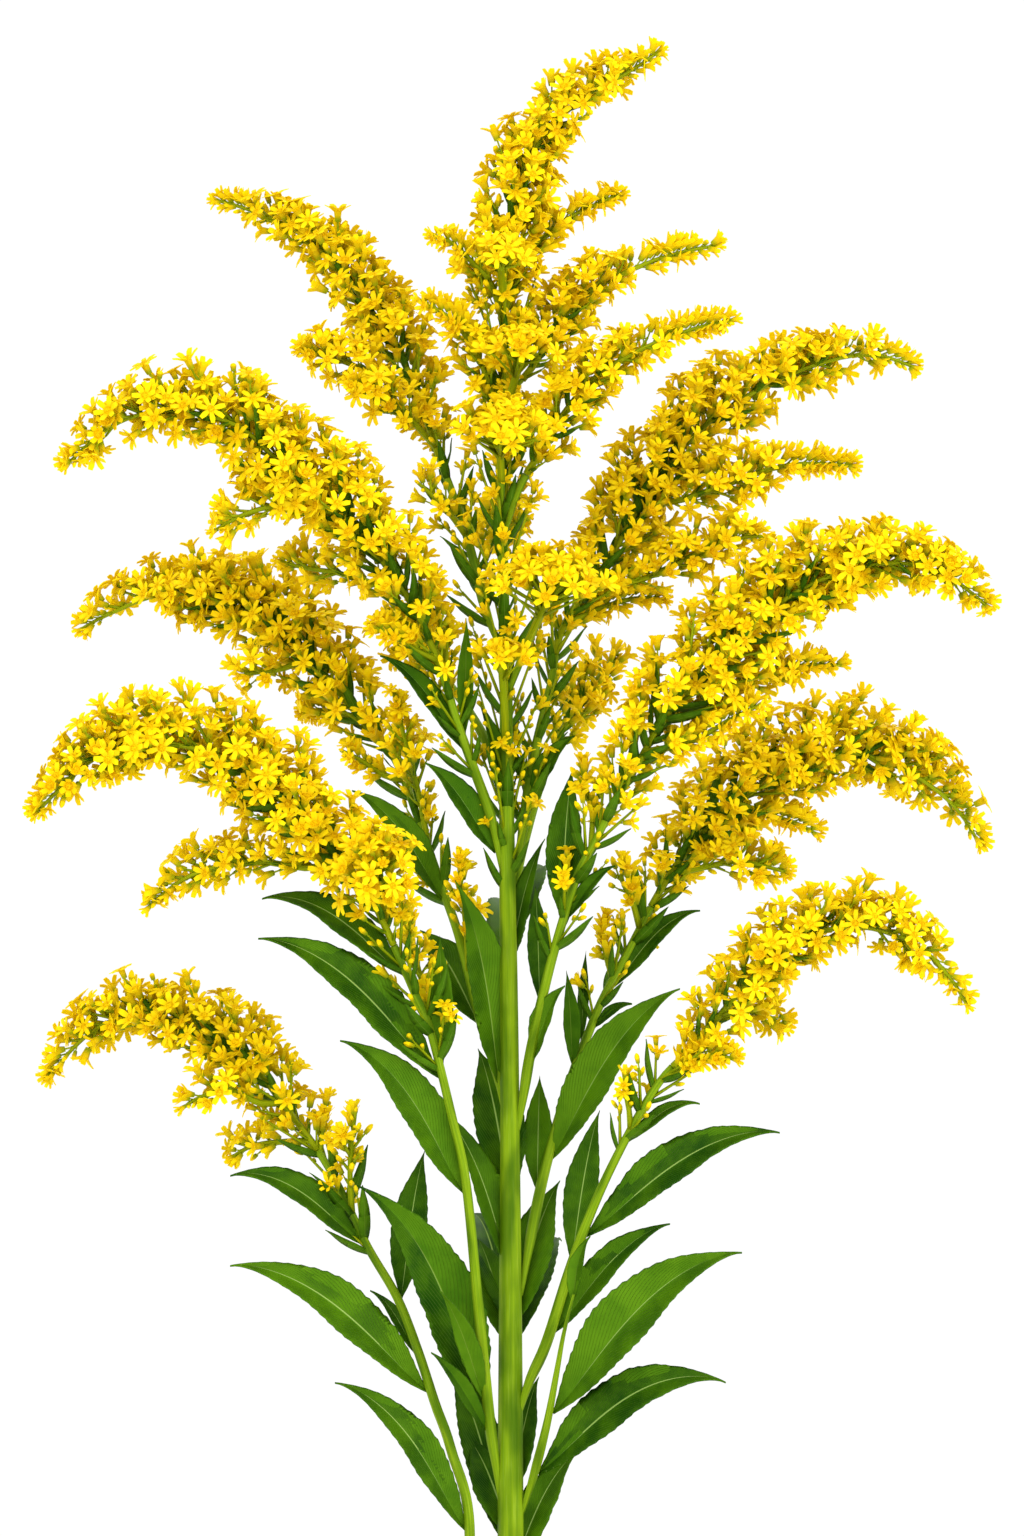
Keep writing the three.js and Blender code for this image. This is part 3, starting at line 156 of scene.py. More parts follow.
# Leaves: stem, root, tip, width, bow of the midrib, turn of the blade from facing forward to facing up
leafRows = [
    ("L2", (-2.9, -1.1, 361.3), (-21.2, -8.1, 383.5), 7.8, 0.06, 30),
    ("main", (-0.8, 0, 373.1), (-8, -3, 399), 5, 0.04, 30),
    ("main", (0.1, 0, 256.3), (-17.5, 0, 297), 8.8, 0.06, 35),
    ("main", (0.1, 0, 274.5), (-8.1, 20, 311.4), 12.7, 0.05, 50),
    ("main", (0.2, 0, 242.1), (12.6, 16, 278.3), 11.9, 0.05, 40),
    ("main", (-0.3, 0, 332.7), (8.8, 8, 364.4), 5, 0.05, 40),
    ("main", (0.2, 0, 199.2), (7.3, 12, 229.2), 7.5, 0.05, 40),
    ("main", (0.3, 0, 185.5), (-15.7, 32, 232.5), 11.5, 0.05, 45),
    ("L4", (-4.8, -3.1, 216.5), (-19.6, -19.1, 237.2), 4.5, 0.05, 25),
    ("main", (0.2, 0, 237.3), (-8.1, 22, 263.4), 10.2, 0.05, 45),
    ("main", (0.2, 0, 190), (-10.6, 16, 213.4), 11.5, 0.06, 45),
    ("main", (0.3, 0, 181), (17.6, 14, 210.5), 9.4, 0.08, 40),
    ("L2", (-11.1, -7, 387.6), (-32.3, -13, 410.1), 6.1, 0.08, 30),
    ("L2", (-12.1, -7.7, 390.4), (-10.7, -13.7, 419.3), 4.1, 0.03, 20),
    ("L3", (-15.9, 14.2, 348.8), (-39.6, 6.2, 376.5), 8.3, 0.08, 30),
    ("L3", (-2.2, 2.3, 301.7), (-13.7, -5.7, 354.1), 11.9, 0.05, 25),
    ("L3", (-7.3, 6.4, 318.5), (-22.7, 20.4, 341.2), 11.7, 0.06, 35),
    ("L4", (-16.8, -23.3, 305.9), (-62.1, -33.3, 340.1), 12.5, 0.10, 30),
    ("L4", (-10.7, -16.3, 277), (-42, -28.3, 314.8), 11.9, 0.10, 25),
    ("L4", (-25.7, -29.8, 331.5), (-61.4, -23.8, 349.8), 9.4, 0.12, 40),
    ("L4", (-17.6, -24, 308.9), (-17.3, -31, 340.8), 5.6, 0.03, 20),
    ("L4", (-5, -3.4, 217.9), (-38, -17.4, 278.5), 15.3, 0.10, 20),
    ("L4", (-5.6, -4.7, 224.2), (-17.3, -22.7, 252.7), 5.6, 0.05, 20),
    ("L5", (-19.7, -5.2, 226.8), (-69.5, -17.2, 258.6), 12.5, 0.10, 30),
    ("L5", (-10, -8, 192.1), (-43.5, -16, 229.5), 9.7, 0.10, 30),
    ("L5", (-36.1, 1, 263.4), (-69.7, -9, 280.6), 8.8, 0.12, 35),
    ("L5", (-22.8, -3.9, 236.2), (-35, 2.1, 251.4), 3.3, 0.08, 30),
    ("L5", (-28, -1.8, 249.3), (-21.4, 12.2, 286), 8.9, 0.04, 30),
    ("R2", (4.2, 3.9, 374.3), (16.2, -2.1, 390.2), 5.5, 0.08, 30),
    ("R3", (13.3, -11.6, 344.4), (15.7, -3.6, 382), 9, 0.05, 25),
    ("R3", (13.6, -11.9, 345.3), (26.1, -17.9, 357.9), 3.9, 0.08, 30),
    ("R3", (4.7, -3.7, 308.9), (13.7, -12.7, 328), 7, 0.08, 35),
    ("R3", (7.8, -6.9, 323.6), (6.3, 3.1, 352.7), 5.5, 0.04, 30),
    ("R4", (9.5, 7.9, 283.9), (42.5, -1.1, 327), 11.9, 0.08, 25),
    ("R4", (25.4, 20.3, 327.6), (48.1, 28.3, 346.1), 6.4, 0.10, 35),
    ("R4", (20.5, 17.1, 317.1), (30.7, 13.1, 322.9), 2.9, 0.10, 35),
    ("R4", (7.6, 5.9, 276.1), (7.5, 15.9, 304.7), 7.2, 0.03, 30),
    ("R4", (16.4, 14.1, 306.6), (14.1, 9.1, 331.3), 4.5, 0.03, 25),
    ("R4", (18.8, 15.9, 312.8), (19.2, 23.9, 336), 2.8, 0.03, 30),
    ("R5", (18, -11.7, 266), (66.8, -23.7, 291.9), 11.1, 0.10, 30),
    ("R5", (10.2, -5.5, 241.7), (39.8, -14.5, 268.9), 8.3, 0.08, 30),
    ("R5", (28.7, -18.6, 289.9), (47.2, -13.6, 298.7), 3.5, 0.12, 35),
    ("R5", (15.4, -9.8, 258.7), (22.5, 4.2, 296.4), 8.3, 0.04, 30),
    ("R6", (9.9, -7.6, 221.6), (57.5, -21.6, 262.1), 14.6, 0.10, 25),
    ("R6", (6.1, -3.4, 206.3), (53.7, -13.4, 229.4), 12.5, 0.14, 30),
    ("main", (0.2, 0, 242.1), (-10.2, 46, 268.1), 11, 0.12, 80),
    ("main", (0.2, 0, 237.3), (13.2, 48, 261.6), 11, 0.12, 80),
    ("main", (-0.3, 0, 332.7), (-2, 44, 347.1), 10, 0.12, 80),
    ("main", (-0.4, 0, 338.7), (9.6, 40, 356.1), 9, 0.12, 80),
    ("main", (0.3, 0, 158.4), (62, -40, 164), 13, 0.24, 75),
    ("main", (0.3, 0, 162.9), (58, 44, 158), 13, 0.24, 75),
    ("main", (0.3, 0, 153.9), (-54, 52, 160), 13, 0.24, 75),
    ("L5", (-11.6, -8.6, 167.5), (-70, -36, 166), 13, 0.22, 75),
    ("R6", (15.2, -15.0, 249.0), (20.0, -17.0, 266.0), 4.2, 0.08, 25),
]


# A smooth curve through the knots, where place 2.5 is half way from the third knot to the fourth
def bend(knots, place):
    i = min(int(place), len(knots) - 2)
    t = place - i
    b, c = knots[i], knots[i + 1]
    a = knots[i - 1] if i else 2 * b - c
    d = knots[i + 2] if i + 2 < len(knots) else 2 * c - b
    curve = 2 * b + (c - a) * t + (2 * a - 5 * b + 4 * c - d) * t**2
    return 0.5 * (curve + (3 * b - a - 3 * c + d) * t**3)


class Line:
    steps = 30  # samples between two knots
    near = 0.4 * mm  # how far each way it looks to find its direction

    def __init__(self, points):
        knots = [Vector(p) * mm for p in points]
        count = self.steps * (len(knots) - 1)
        self.spots = [bend(knots, k / self.steps) for k in range(count + 1)]
        self.reached = [0.0]
        for a, b in zip(self.spots, self.spots[1:]):
            self.reached.append(self.reached[-1] + (b - a).length)
        self.length = self.reached[-1]
        span = knots[-1] - knots[0]
        self.crosswise = Vector((0, 1, 0)) if abs(span.x) > abs(span.y) else Vector((1, 0, 0))

    def at(self, far):
        i = min(max(bisect.bisect(self.reached, far), 1), len(self.reached) - 1)
        a, b = self.reached[i - 1], self.reached[i]
        return self.spots[i - 1].lerp(self.spots[i], (far - a) / (b - a))

    def wayNear(self, spot):
        i = min(range(1, len(self.spots)), key=lambda i: (self.spots[i] - spot).length)
        return (self.spots[i] - self.spots[i - 1]).normalized()

    def frameAt(self, far):
        ahead = (self.at(far + self.near) - self.at(far - self.near)).normalized()
        across = ahead.cross(self.crosswise).normalized()
        return self.at(far), ahead, across, ahead.cross(across)


lines = {name: Line(points) for name, points in paths.items()}


def between(pairs, place):  # the value at place on a bent line through the pairs
    for (a, low), (b, high) in zip(pairs, pairs[1:]):
        if place <= b:
            return low + (high - low) * (place - a) / (b - a)
    return pairs[-1][1]


def blend(low, high, share):
    return low + (high - low) * share


def mathsNode(operation, reflected=False):
    def made(wire, other=None):
        first, second = (other, wire) if reflected else (wire, other)
        return wire.look.node("ShaderNodeMath", {"operation": operation}, {0: first, 1: second}, "Value")

    return made


# Shader maths written as Python: + - * and the methods below make Math nodes
class Wire:
    __add__ = mathsNode("ADD")
    __radd__ = mathsNode("ADD", True)
    __sub__ = mathsNode("SUBTRACT")
    __rsub__ = mathsNode("SUBTRACT", True)
    __mul__ = mathsNode("MULTIPLY")
    __rmul__ = mathsNode("MULTIPLY", True)
    size = mathsNode("ABSOLUTE")
    part = mathsNode("FRACT")
    whole = mathsNode("FLOOR")
    sine = mathsNode("SINE")

    def __init__(self, look, socket):
        self.look = look
        self.socket = socket

    def rise(self, low, high):  # smooth step from 0 at low to 1 at high
        inputs = {"Value": self, "From Min": low, "From Max": high}
        return self.look.node("ShaderNodeMapRange", {"interpolation_type": "SMOOTHSTEP"}, inputs, "Result")


def paint(colour):  # red, green and blue as seen, 0 to 255, in the linear form that shaders take
    if isinstance(colour, Wire):
        return colour
    seen = [value / 255 for value in colour]
    linear = [value / 12.92 if value <= 0.04045 else ((value + 0.055) / 1.055) ** 2.4 for value in seen]
    return linear + [1.0]


class Look:
    def __init__(self, name):
        self.material = bpy.data.materials.new(name)
        self.material.use_nodes = True
        self.tree = self.material.node_tree
        self.tree.nodes.clear()
        self.shader = self.tree.nodes.new("ShaderNodeBsdfPrincipled")
        output = self.tree.nodes.new("ShaderNodeOutputMaterial")
        self.tree.links.new(self.shader.outputs["BSDF"], output.inputs["Surface"])

    def node(self, kind, settings, inputs, output):
        made = self.tree.nodes.new(kind)
        for key, value in settings.items():
            setattr(made, key, value)
        for key, value in inputs.items():
            if isinstance(value, Wire):
                self.tree.links.new(value.socket, made.inputs[key])
            elif value is not None:
                made.inputs[key].default_value = value
        return Wire(self, made.outputs[output])

    def place(self):
        return self.node("ShaderNodeTexCoord", {}, {}, "Object")

    def uv(self):
        spot = self.node("ShaderNodeTexCoord", {}, {}, "UV")
        split = self.node("ShaderNodeSeparateXYZ", {}, {"Vector": spot}, "X")
        return split, Wire(self, split.socket.node.outputs["Y"])

    def noise(self, vector, scale, detail=3.0, rough=0.55):
        inputs = {"Vector": vector, "Scale": scale, "Detail": detail, "Roughness": rough}
        return self.node("ShaderNodeTexNoise", {}, inputs, "Fac")

    def stretched(self, x, y, z=0.0):
        return self.node("ShaderNodeCombineXYZ", {}, {"X": x, "Y": y, "Z": z}, "Vector")

    def mix(self, amount, low, high):
        inputs = {0: amount, 6: paint(low), 7: paint(high)}  # 6 and 7 are the two colour sockets
        return self.node("ShaderNodeMix", {"data_type": "RGBA"}, inputs, 2)

    def finish(self, colour, roughness, gloss, height=None, depth=0.0):
        wires = {"Base Color": colour, "Roughness": roughness}
        if height:
            inputs = {"Strength": 1.0, "Distance": depth, "Height": height}
            wires["Normal"] = self.node("ShaderNodeBump", {}, inputs, "Normal")
        for key, wire in wires.items():
            self.tree.links.new(wire.socket, self.shader.inputs[key])
        self.shader.inputs["Specular IOR Level"].default_value = gloss
        return self.material


# Petals: UV x runs from the disc to the petal's tip, UV y is the head's own tint
flowerGloss = 0.04
look = Look("goldenrod_petal")
out, tint = look.uv()
grain = look.noise(look.place(), 900)
warm = look.mix(tint, (234, 200, 2), (248, 221, 6))
# Petals turn deeper orange towards the disc: this is painted shade in the depth of each head
shadedCentre = look.mix((1 - out.rise(0.0, 0.6)) * 0.45, warm, (222, 178, 0))
colour = look.mix(grain.rise(0.35, 0.75) * 0.3, shadedCentre, (246, 228, 40))
petalMaterial = look.finish(colour, 0.5 + grain * 0.2, flowerGloss, grain, 0.04 * mm)

look = Look("goldenrod_disc")
out, tint = look.uv()
florets = look.node("ShaderNodeTexVoronoi", {}, {"Vector": look.place(), "Scale": 2600}, "Distance")
warm = look.mix(tint, (226, 182, 2), (238, 202, 4))
colour = look.mix(florets.rise(0.3, 0.75) * 0.7, warm, (186, 134, 0))
discMaterial = look.finish(colour, 0.62 + florets * 0.2, flowerGloss, florets, -0.1 * mm)

# The green cup under a head: UV x runs from the stalk to the petals
look = Look("goldenrod_cup")
out, tint = look.uv()
grain = look.noise(look.place(), 1400)
green = look.mix(tint, (112, 134, 6), (150, 154, 8))
colour = look.mix(out.rise(0.1, 0.8) * 0.9 + grain * 0.1, green, (212, 182, 8))
cupMaterial = look.finish(colour, 0.5 + grain * 0.2, flowerGloss, grain, 0.05 * mm)


# Stems and twigs: UV x runs round, UV y along in units of 10 mm
def stemLook(name, dark, light, streak, paintedShade):
    look = Look(name)
    turn, along = look.uv()
    streaks = look.noise(look.stretched(turn * 11, along * 0.16), 1.5, 3.0, 0.5)
    fine = look.noise(look.stretched(turn * 46, along * 0.5), 2.0, 3.0, 0.55)
    # Broad dark patches along stems and twigs are painted shade, mixed towards the last colour
    shadePatches = look.noise(look.stretched(turn * 2.2, along * 0.42), 1.0, 2.0, 0.45)
    base = look.mix(streaks.rise(0.25, 0.75), dark, light)
    base = look.mix(fine.rise(0.5, 0.8) * 0.4, base, streak)
    base = look.mix(shadePatches.rise(0.4, 0.66) * 0.75, base, paintedShade)
    return look.finish(base, 0.42 + fine * 0.25, 0.06, streaks + fine * 0.5, 0.12 * mm)


# The last colour of each stem look is painted shade, laid on in broad patches
stemMaterial = stemLook("green_stem", (100, 136, 6), (138, 168, 18), (182, 204, 84), (48, 88, 0))
twigMaterial = stemLook("flower_twig", (110, 134, 0), (168, 176, 8), (194, 198, 46), (118, 138, 0))


# Blades: UV x runs across from 0 to 1, UV y along, with a whole number added for each leaf
def bladeLook(name, dark, light, rib, ribStrength, rough):
    look = Look(name)
    across, along = look.uv()
    leaf = along.whole()
    share = along.part()
    off = (across - 0.5).size()
    own = look.noise(look.stretched(leaf * 3.7, leaf * 1.3, 0.5), 1.0, 0.0)
    cloud = look.noise(look.place(), 130, 4.0)
    pores = look.noise(look.place(), 1500, 2.0)
    veins = ((share * 26 - off * 17 + cloud * 0.9) * math.pi).sine().size()
    veins = (1 - veins.rise(0.0, 0.30)) * off.rise(0.02, 0.10)
    midrib = 1 - off.rise(0.006, 0.028)
    base = look.mix(cloud.rise(0.3, 0.7) * 0.55 + own.rise(0.3, 0.7) * 0.45, dark, light)
    base = look.mix(veins * 0.34 * ribStrength, base, rib)
    base = look.mix(midrib * ribStrength, base, rib)
    relief = pores * 0.12 + cloud * 0.2 - veins * 0.5 - midrib * 0.7
    return look.finish(base, rough + pores * 0.18, 0.05, relief, 0.3 * mm)


leafMaterial = bladeLook("leaf_upper_side", (24, 66, 0), (78, 122, 4), (158, 190, 96), 0.8, 0.42)
leafBackMaterial = bladeLook("leaf_underside", (56, 100, 4), (88, 132, 14), (140, 172, 60), 0.6, 0.5)
plantMaterials = [
    petalMaterial, discMaterial, cupMaterial, stemMaterial, twigMaterial, leafMaterial, leafBackMaterial
]
petalSlot, discSlot, cupSlot, stemSlot, twigSlot, leafSlot, backSlot = range(len(plantMaterials))
print("materials of the plant made")


def newShape():
    bm = bmesh.new()
    bm.loops.layers.uv.new("UVMap")
    return bm


def meshFrom(bm, name):
    mesh = bpy.data.meshes.new(name)
    bm.to_mesh(mesh)
    bm.free()
    return mesh


def closedMesh(bm, name):
    bmesh.ops.recalc_face_normals(bm, faces=bm.faces)
    return meshFrom(bm, name)


def join(bm, mesh):
    bm.from_mesh(mesh)
    bpy.data.meshes.remove(mesh)


def facesSince(bm, old):
    return [face for face in bm.faces if face not in old]


def dress(bm, faces, slot, uvAt):  # gives faces a material, and UVs worked out from each corner's place
    layer = bm.loops.layers.uv.active
    for face in faces:
        face.material_index = slot
        for loop in face.loops:
            loop[layer].uv = uvAt(loop.vert.co)


def smoothGrid(bm, slot, changeY):  # smooth faces of one material, with the UVs' y changed
    layer = bm.loops.layers.uv.active
    for face in bm.faces:
        face.material_index = slot
        face.smooth = True
        for loop in face.loops:
            loop[layer].uv.y = changeY(loop[layer].uv.y)


def placeCopy(bm, template, matrix, changeY):
    copy = template.copy()
    copy.transform(matrix)
    for spot in copy.uv_layers[0].uv:
        spot.vector.y = changeY(spot.vector.y)
    join(bm, copy)


# A matrix that stands a template at spot with its Z along direction
def aimed(spot, direction, turn, scale):
    stand = direction.to_track_quat("Z", "X").to_matrix().to_4x4()
    return Matrix.Translation(spot) @ stand @ Matrix.Rotation(turn, 4, "Z") @ Matrix.Scale(scale, 4)


def addObject(name, data):
    made = bpy.data.objects.new(name, data)
    bpy.context.scene.collection.objects.link(made)
    return made


def addPiece(name, bm, materials, node):
    mesh = closedMesh(bm, name)
    piece = addObject(name, mesh)
    for material in materials:
        mesh.materials.append(material)
    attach(piece, "root")
    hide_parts(node)
    print(name, len(mesh.polygons), "faces")


# One head: stalk, cup, petals and disc. Z is the way it faces, the stalk's foot is at the origin
# Each lift is how far a petal goes out and up in mm, and how much wider it gets
headKinds = {
    "open7": {"petals": 7, "disc": 0.98, "lifts": [(1.5, 0.35, 1.5), (1.2, -0.05, 0.7)]},
    "open6": {"petals": 6, "disc": 1.05, "lifts": [(1.2, 0.85, 1.36), (1.0, 0.45, 0.76)]},
    "cupped": {"petals": 6, "disc": 1.2, "lifts": [(0.7, 0.9, 1.22), (0.55, 0.75, 0.8)]},
}
headShape = {
    "stalk": 1.5,
    "stalkRadius": 0.26,
    "overlap": 0.2,  # how far the stalk goes into the cup
    "cup": 2.4,
    "cupFoot": 0.72,
    "band": 0.4,
    "slope": 0.42,  # of the disc's radius
    "dome": 0.4,
    "thinner": 0.62,  # thickness that a petal keeps at each lift
}


def addCone(bm, slot, sides, radii, depth, matrix, uvAt):
    old = set(bm.faces)
    bmesh.ops.create_cone(
        bm, cap_ends=True, segments=sides, radius1=radii[0], radius2=radii[1], depth=depth, matrix=matrix
    )
    dress(bm, facesSince(bm, old), slot, uvAt)


def raised(height):
    return Matrix.Translation((0, 0, height))


def topFace(bm):
    return max(bm.faces, key=lambda face: face.calc_center_median().z)


def addStalk(bm):
    radius = headShape["stalkRadius"]
    depth = headShape["stalk"] + headShape["overlap"]
    addCone(bm, twigSlot, 3, (radius, radius), depth, raised(depth / 2), lambda spot: (0.3, 0))


def scaledMesh(bm, name):
    bmesh.ops.scale(bm, vec=(mm, mm, mm), verts=bm.verts)
    return closedMesh(bm, name)


def headMesh(name, petals, disc, lifts):
    bm = newShape()
    foot, cup = headShape["stalk"], headShape["cup"]
    radii = (headShape["cupFoot"], disc)

    def upwards(spot):
        return ((spot.z - foot) / cup, 0)

    addCone(bm, cupSlot, petals, radii, cup, raised(foot + cup / 2), upwards)
    old = set(bm.faces)
    lid = bmesh.ops.extrude_discrete_faces(bm, faces=[topFace(bm)])["faces"][0]
    bmesh.ops.translate(bm, verts=lid.verts, vec=(0, 0, headShape["band"]))
    petalFaces = [face for face in facesSince(bm, old) if face is not lid]
    for out, rise, wide in lifts:
        petalFaces = bmesh.ops.extrude_discrete_faces(bm, faces=petalFaces)["faces"]
        for face in petalFaces:
            centre = face.calc_center_median()
            outward = Vector((centre.x, centre.y, 0)).normalized()
            sideways = Vector((-outward.y, outward.x, 0))
            for vert in face.verts:
                off = vert.co - centre
                flat = sideways * off.dot(sideways) * wide + up * off.z * headShape["thinner"]
                vert.co = centre + flat + outward * out + up * rise
    rim = bmesh.ops.inset_individual(
        bm, faces=[lid], thickness=disc * headShape["slope"], depth=headShape["dome"]
    )["faces"]
    reach = disc + sum(out for out, rise, wide in lifts)

    def outwards(spot):
        return (max(0, math.hypot(spot.x, spot.y) - disc) / (reach - disc), 0)

    dress(bm, facesSince(bm, old), petalSlot, outwards)
    dress(bm, [lid] + rim, discSlot, outwards)
    addStalk(bm)
    return scaledMesh(bm, name)


# A bud: a green cup that narrows to a closed yellow tip
budShape = {
    "sides": 5,
    "foot": 0.8,  # of an open head's cup
    "middle": 0.78,
    "yellowing": 0.7,
    "tip": ((0.55, 0.86), (0.45, 0.35)),  # shares of the yellow tip's height, and how much each narrows
}


def budMesh(name, cup, yellow):
    bm = newShape()
    foot = headShape["stalk"]
    radii = (headShape["cupFoot"] * budShape["foot"], budShape["middle"])

    def upwards(spot):
        return ((spot.z - foot) / cup * budShape["yellowing"], 0)

    addCone(bm, cupSlot, budShape["sides"], radii, cup, raised(foot + cup / 2), upwards)
    for share, narrow in budShape["tip"]:
        old = set(bm.faces)
        lid = bmesh.ops.extrude_discrete_faces(bm, faces=[topFace(bm)])["faces"][0]
        centre = lid.calc_center_median()
        for vert in lid.verts:
            vert.co = centre + (vert.co - centre) * narrow + up * yellow * share
        dress(bm, facesSince(bm, old), petalSlot, lambda spot: (0.35, 0))
    addStalk(bm)
    return scaledMesh(bm, name)


# A small narrow leaf, one unit long and wide, its foot at the origin, along Z and facing Y
def bractMesh():
    bm = newShape()
    bmesh.ops.create_grid(bm, x_segments=2, y_segments=7, size=0.5, calc_uvs=True)
    for vert in bm.verts:
        side = vert.co.x * 2
        t = vert.co.y + 0.5
        half = 0.5 * math.sin(math.pi * (0.08 + 0.92 * t) ** 0.8) + 0.03
        vert.co = (half * side, 0.25 * math.sin(math.pi * t) ** 2 - 0.1 * abs(side), t)
    smoothGrid(bm, backSlot, lambda y: min(max(y, 0.01), 0.99))
    bmesh.ops.solidify(bm, geom=list(bm.faces), thickness=0.12)
    for face in bm.faces:
        face.material_index = backSlot
        face.smooth = True
    return closedMesh(bm, "bract")


# How far a bract turns to the viewer, its width for its length, and how many tints there are
bract = {"turn": 0.8, "wide": 0.2, "tints": 40}


def addBract(bm, draw, spot, way, radial, length):
    ahead = way.normalized()
    facing = radial + towardsViewer * bract["turn"]
    facing = (facing - ahead * facing.dot(ahead)).normalized()
    across = facing.cross(ahead)
    stand = Matrix((across, facing, ahead)).transposed().to_4x4()
    width = length * bract["wide"]
    matrix = Matrix.Translation(spot) @ stand @ Matrix.Diagonal((width, width, length, 1))
    number = draw.randrange(bract["tints"])
    placeCopy(bm, bractTemplate, matrix, lambda y: y + number)


bractTemplate = bractMesh()
headMeshes = {name: headMesh(name, **kind) for name, kind in headKinds.items()}
headMeshes["bud"] = budMesh("bud", 1.6, 1.5)
headMeshes["smallBud"] = budMesh("smallBud", 1.3, 0.6)
headTall = (headShape["stalk"] + headShape["cup"] + headShape["band"]) * mm
for name, mesh in headMeshes.items():
    print("template", name, len(mesh.polygons), "faces")


# A tube along a line from first to last metre, its radius a function of the share between them
def tubeMesh(line, first, last, radiusAt, sides, rows, slot, ribs=0, ribDepth=0.0):
    bm = newShape()
    bmesh.ops.create_grid(bm, x_segments=sides, y_segments=rows, size=0.5, calc_uvs=True)
    for vert in bm.verts:
        turn = 2 * math.pi * (vert.co.x + 0.5)
        share = vert.co.y + 0.5
        middle, ahead, across, other = line.frameAt(first + (last - first) * share)
        radius = radiusAt(share) * (1 + ribDepth * math.cos(ribs * turn))
        vert.co = middle + (across * math.cos(turn) + other * math.sin(turn)) * radius
    tens = (last - first) / (10 * mm)
    smoothGrid(bm, slot, lambda y: y * tens)
    bmesh.ops.remove_doubles(bm, verts=bm.verts, dist=1e-6)
    caps = bmesh.ops.holes_fill(bm, edges=[edge for edge in bm.edges if edge.is_boundary], sides=0)
    for face in caps["faces"]:
        face.material_index = slot
    return closedMesh(bm, "tube")


blade = {
    "base": 0.015,
    "rootPower": 1.25,
    "tipPower": 1.5,
    "half": 0.49,  # half width for a leaf's given width
    "rootHalf": 0.25 * mm,
    "tipHalf": 0.02 * mm,
    "fold": 0.2,
    "cupping": 1.4,
    "wave": 0.035,
    "waves": 2.6,
    "tooth": 0.04,
    "bowRoot": 1.4,
    "bowTip": 0.85,
    "foot": 0.9 * mm,
    "behind": 1.3 * mm,
    "behindTo": 0.4,
    "teethEvery": 3.0 * mm,
    "thick": 0.42 * mm,
    "rib": 0.35 * mm,
    "across": 8,
}


# A hump from root to tip, about 1 at its highest, which is nearer to the end with the lower power
def hump(t, rootPower, tipPower, base=0.0):
    highest = rootPower / (rootPower + tipPower)
    return ((t + base) / highest) ** rootPower * ((1 - t) / (1 - highest)) ** tipPower


def leafMesh(lineName, root, tip, width, bow, turnDegrees, number):
    start, end = Vector(root) * mm, Vector(tip) * mm
    width = width * mm
    stemWay = lines[lineName].wayNear(start)
    if lineName != "main":
        aside = stemWay.cross((end - start).cross(stemWay)).normalized()
        start += aside * blade["foot"]
    chord = end - start
    ahead = chord.normalized()
    upright = (up - ahead * ahead.z).normalized()
    forward = (towardsViewer - ahead * ahead.dot(towardsViewer)).normalized()
    turn = math.radians(turnDegrees)
    facing = (upright * math.sin(turn) + forward * math.cos(turn)).normalized()
    teeth = max(4, round(chord.length / blade["teethEvery"]))
    phase = number * 1.7

    def spine(t):
        high = hump(min(max(t, 0.0), 1.0), blade["bowRoot"], blade["bowTip"])
        behind = towardsViewer * blade["behind"] * (1 - min(1, t / blade["behindTo"])) ** 2
        return start + chord * t + upright * bow * chord.length * high - behind

    bm = newShape()
    bmesh.ops.create_grid(bm, x_segments=blade["across"], y_segments=teeth * 3, size=0.5, calc_uvs=True)
    for vert in bm.verts:
        side = vert.co.x * 2  # -1 to 1
        t = vert.co.y + 0.5
        onward = (spine(t + 0.01) - spine(t - 0.01)).normalized()
        across = facing.cross(onward).normalized()
        over = onward.cross(across)
        edge = max(0.0, abs(side) * 4 - 3)  # only the last strip carries the teeth
        saw = ((t * teeth) % 1.0 - 0.5) * 2
        half = hump(min(t, 1.0), blade["rootPower"], blade["tipPower"], blade["base"])
        half = width * blade["half"] * half * (1 + edge * blade["tooth"] * saw)
        half = max(half, blade["rootHalf"] * (1 - t) + blade["tipHalf"])
        wave = math.sin(blade["waves"] * 2 * math.pi * t + phase + side)
        wave = blade["wave"] * width * side * abs(side) * wave
        lift = half * abs(side) ** blade["cupping"] * blade["fold"] * 2 + wave * math.sin(math.pi * t)
        lift -= blade["rib"] * max(0.0, 1 - abs(side) * 4) * (1 - t)
        vert.co = spine(t) + across * half * side + over * lift
    smoothGrid(bm, leafSlot, lambda y: min(max(y, 0.002), 0.998) + number)
    front = set(bm.faces)
    shell = bmesh.ops.solidify(bm, geom=list(bm.faces), thickness=blade["thick"])["geom"]
    for face in shell:
        if isinstance(face, bmesh.types.BMFace) and face not in front:
            face.material_index = backSlot
            face.smooth = True
    return closedMesh(bm, "leaf")


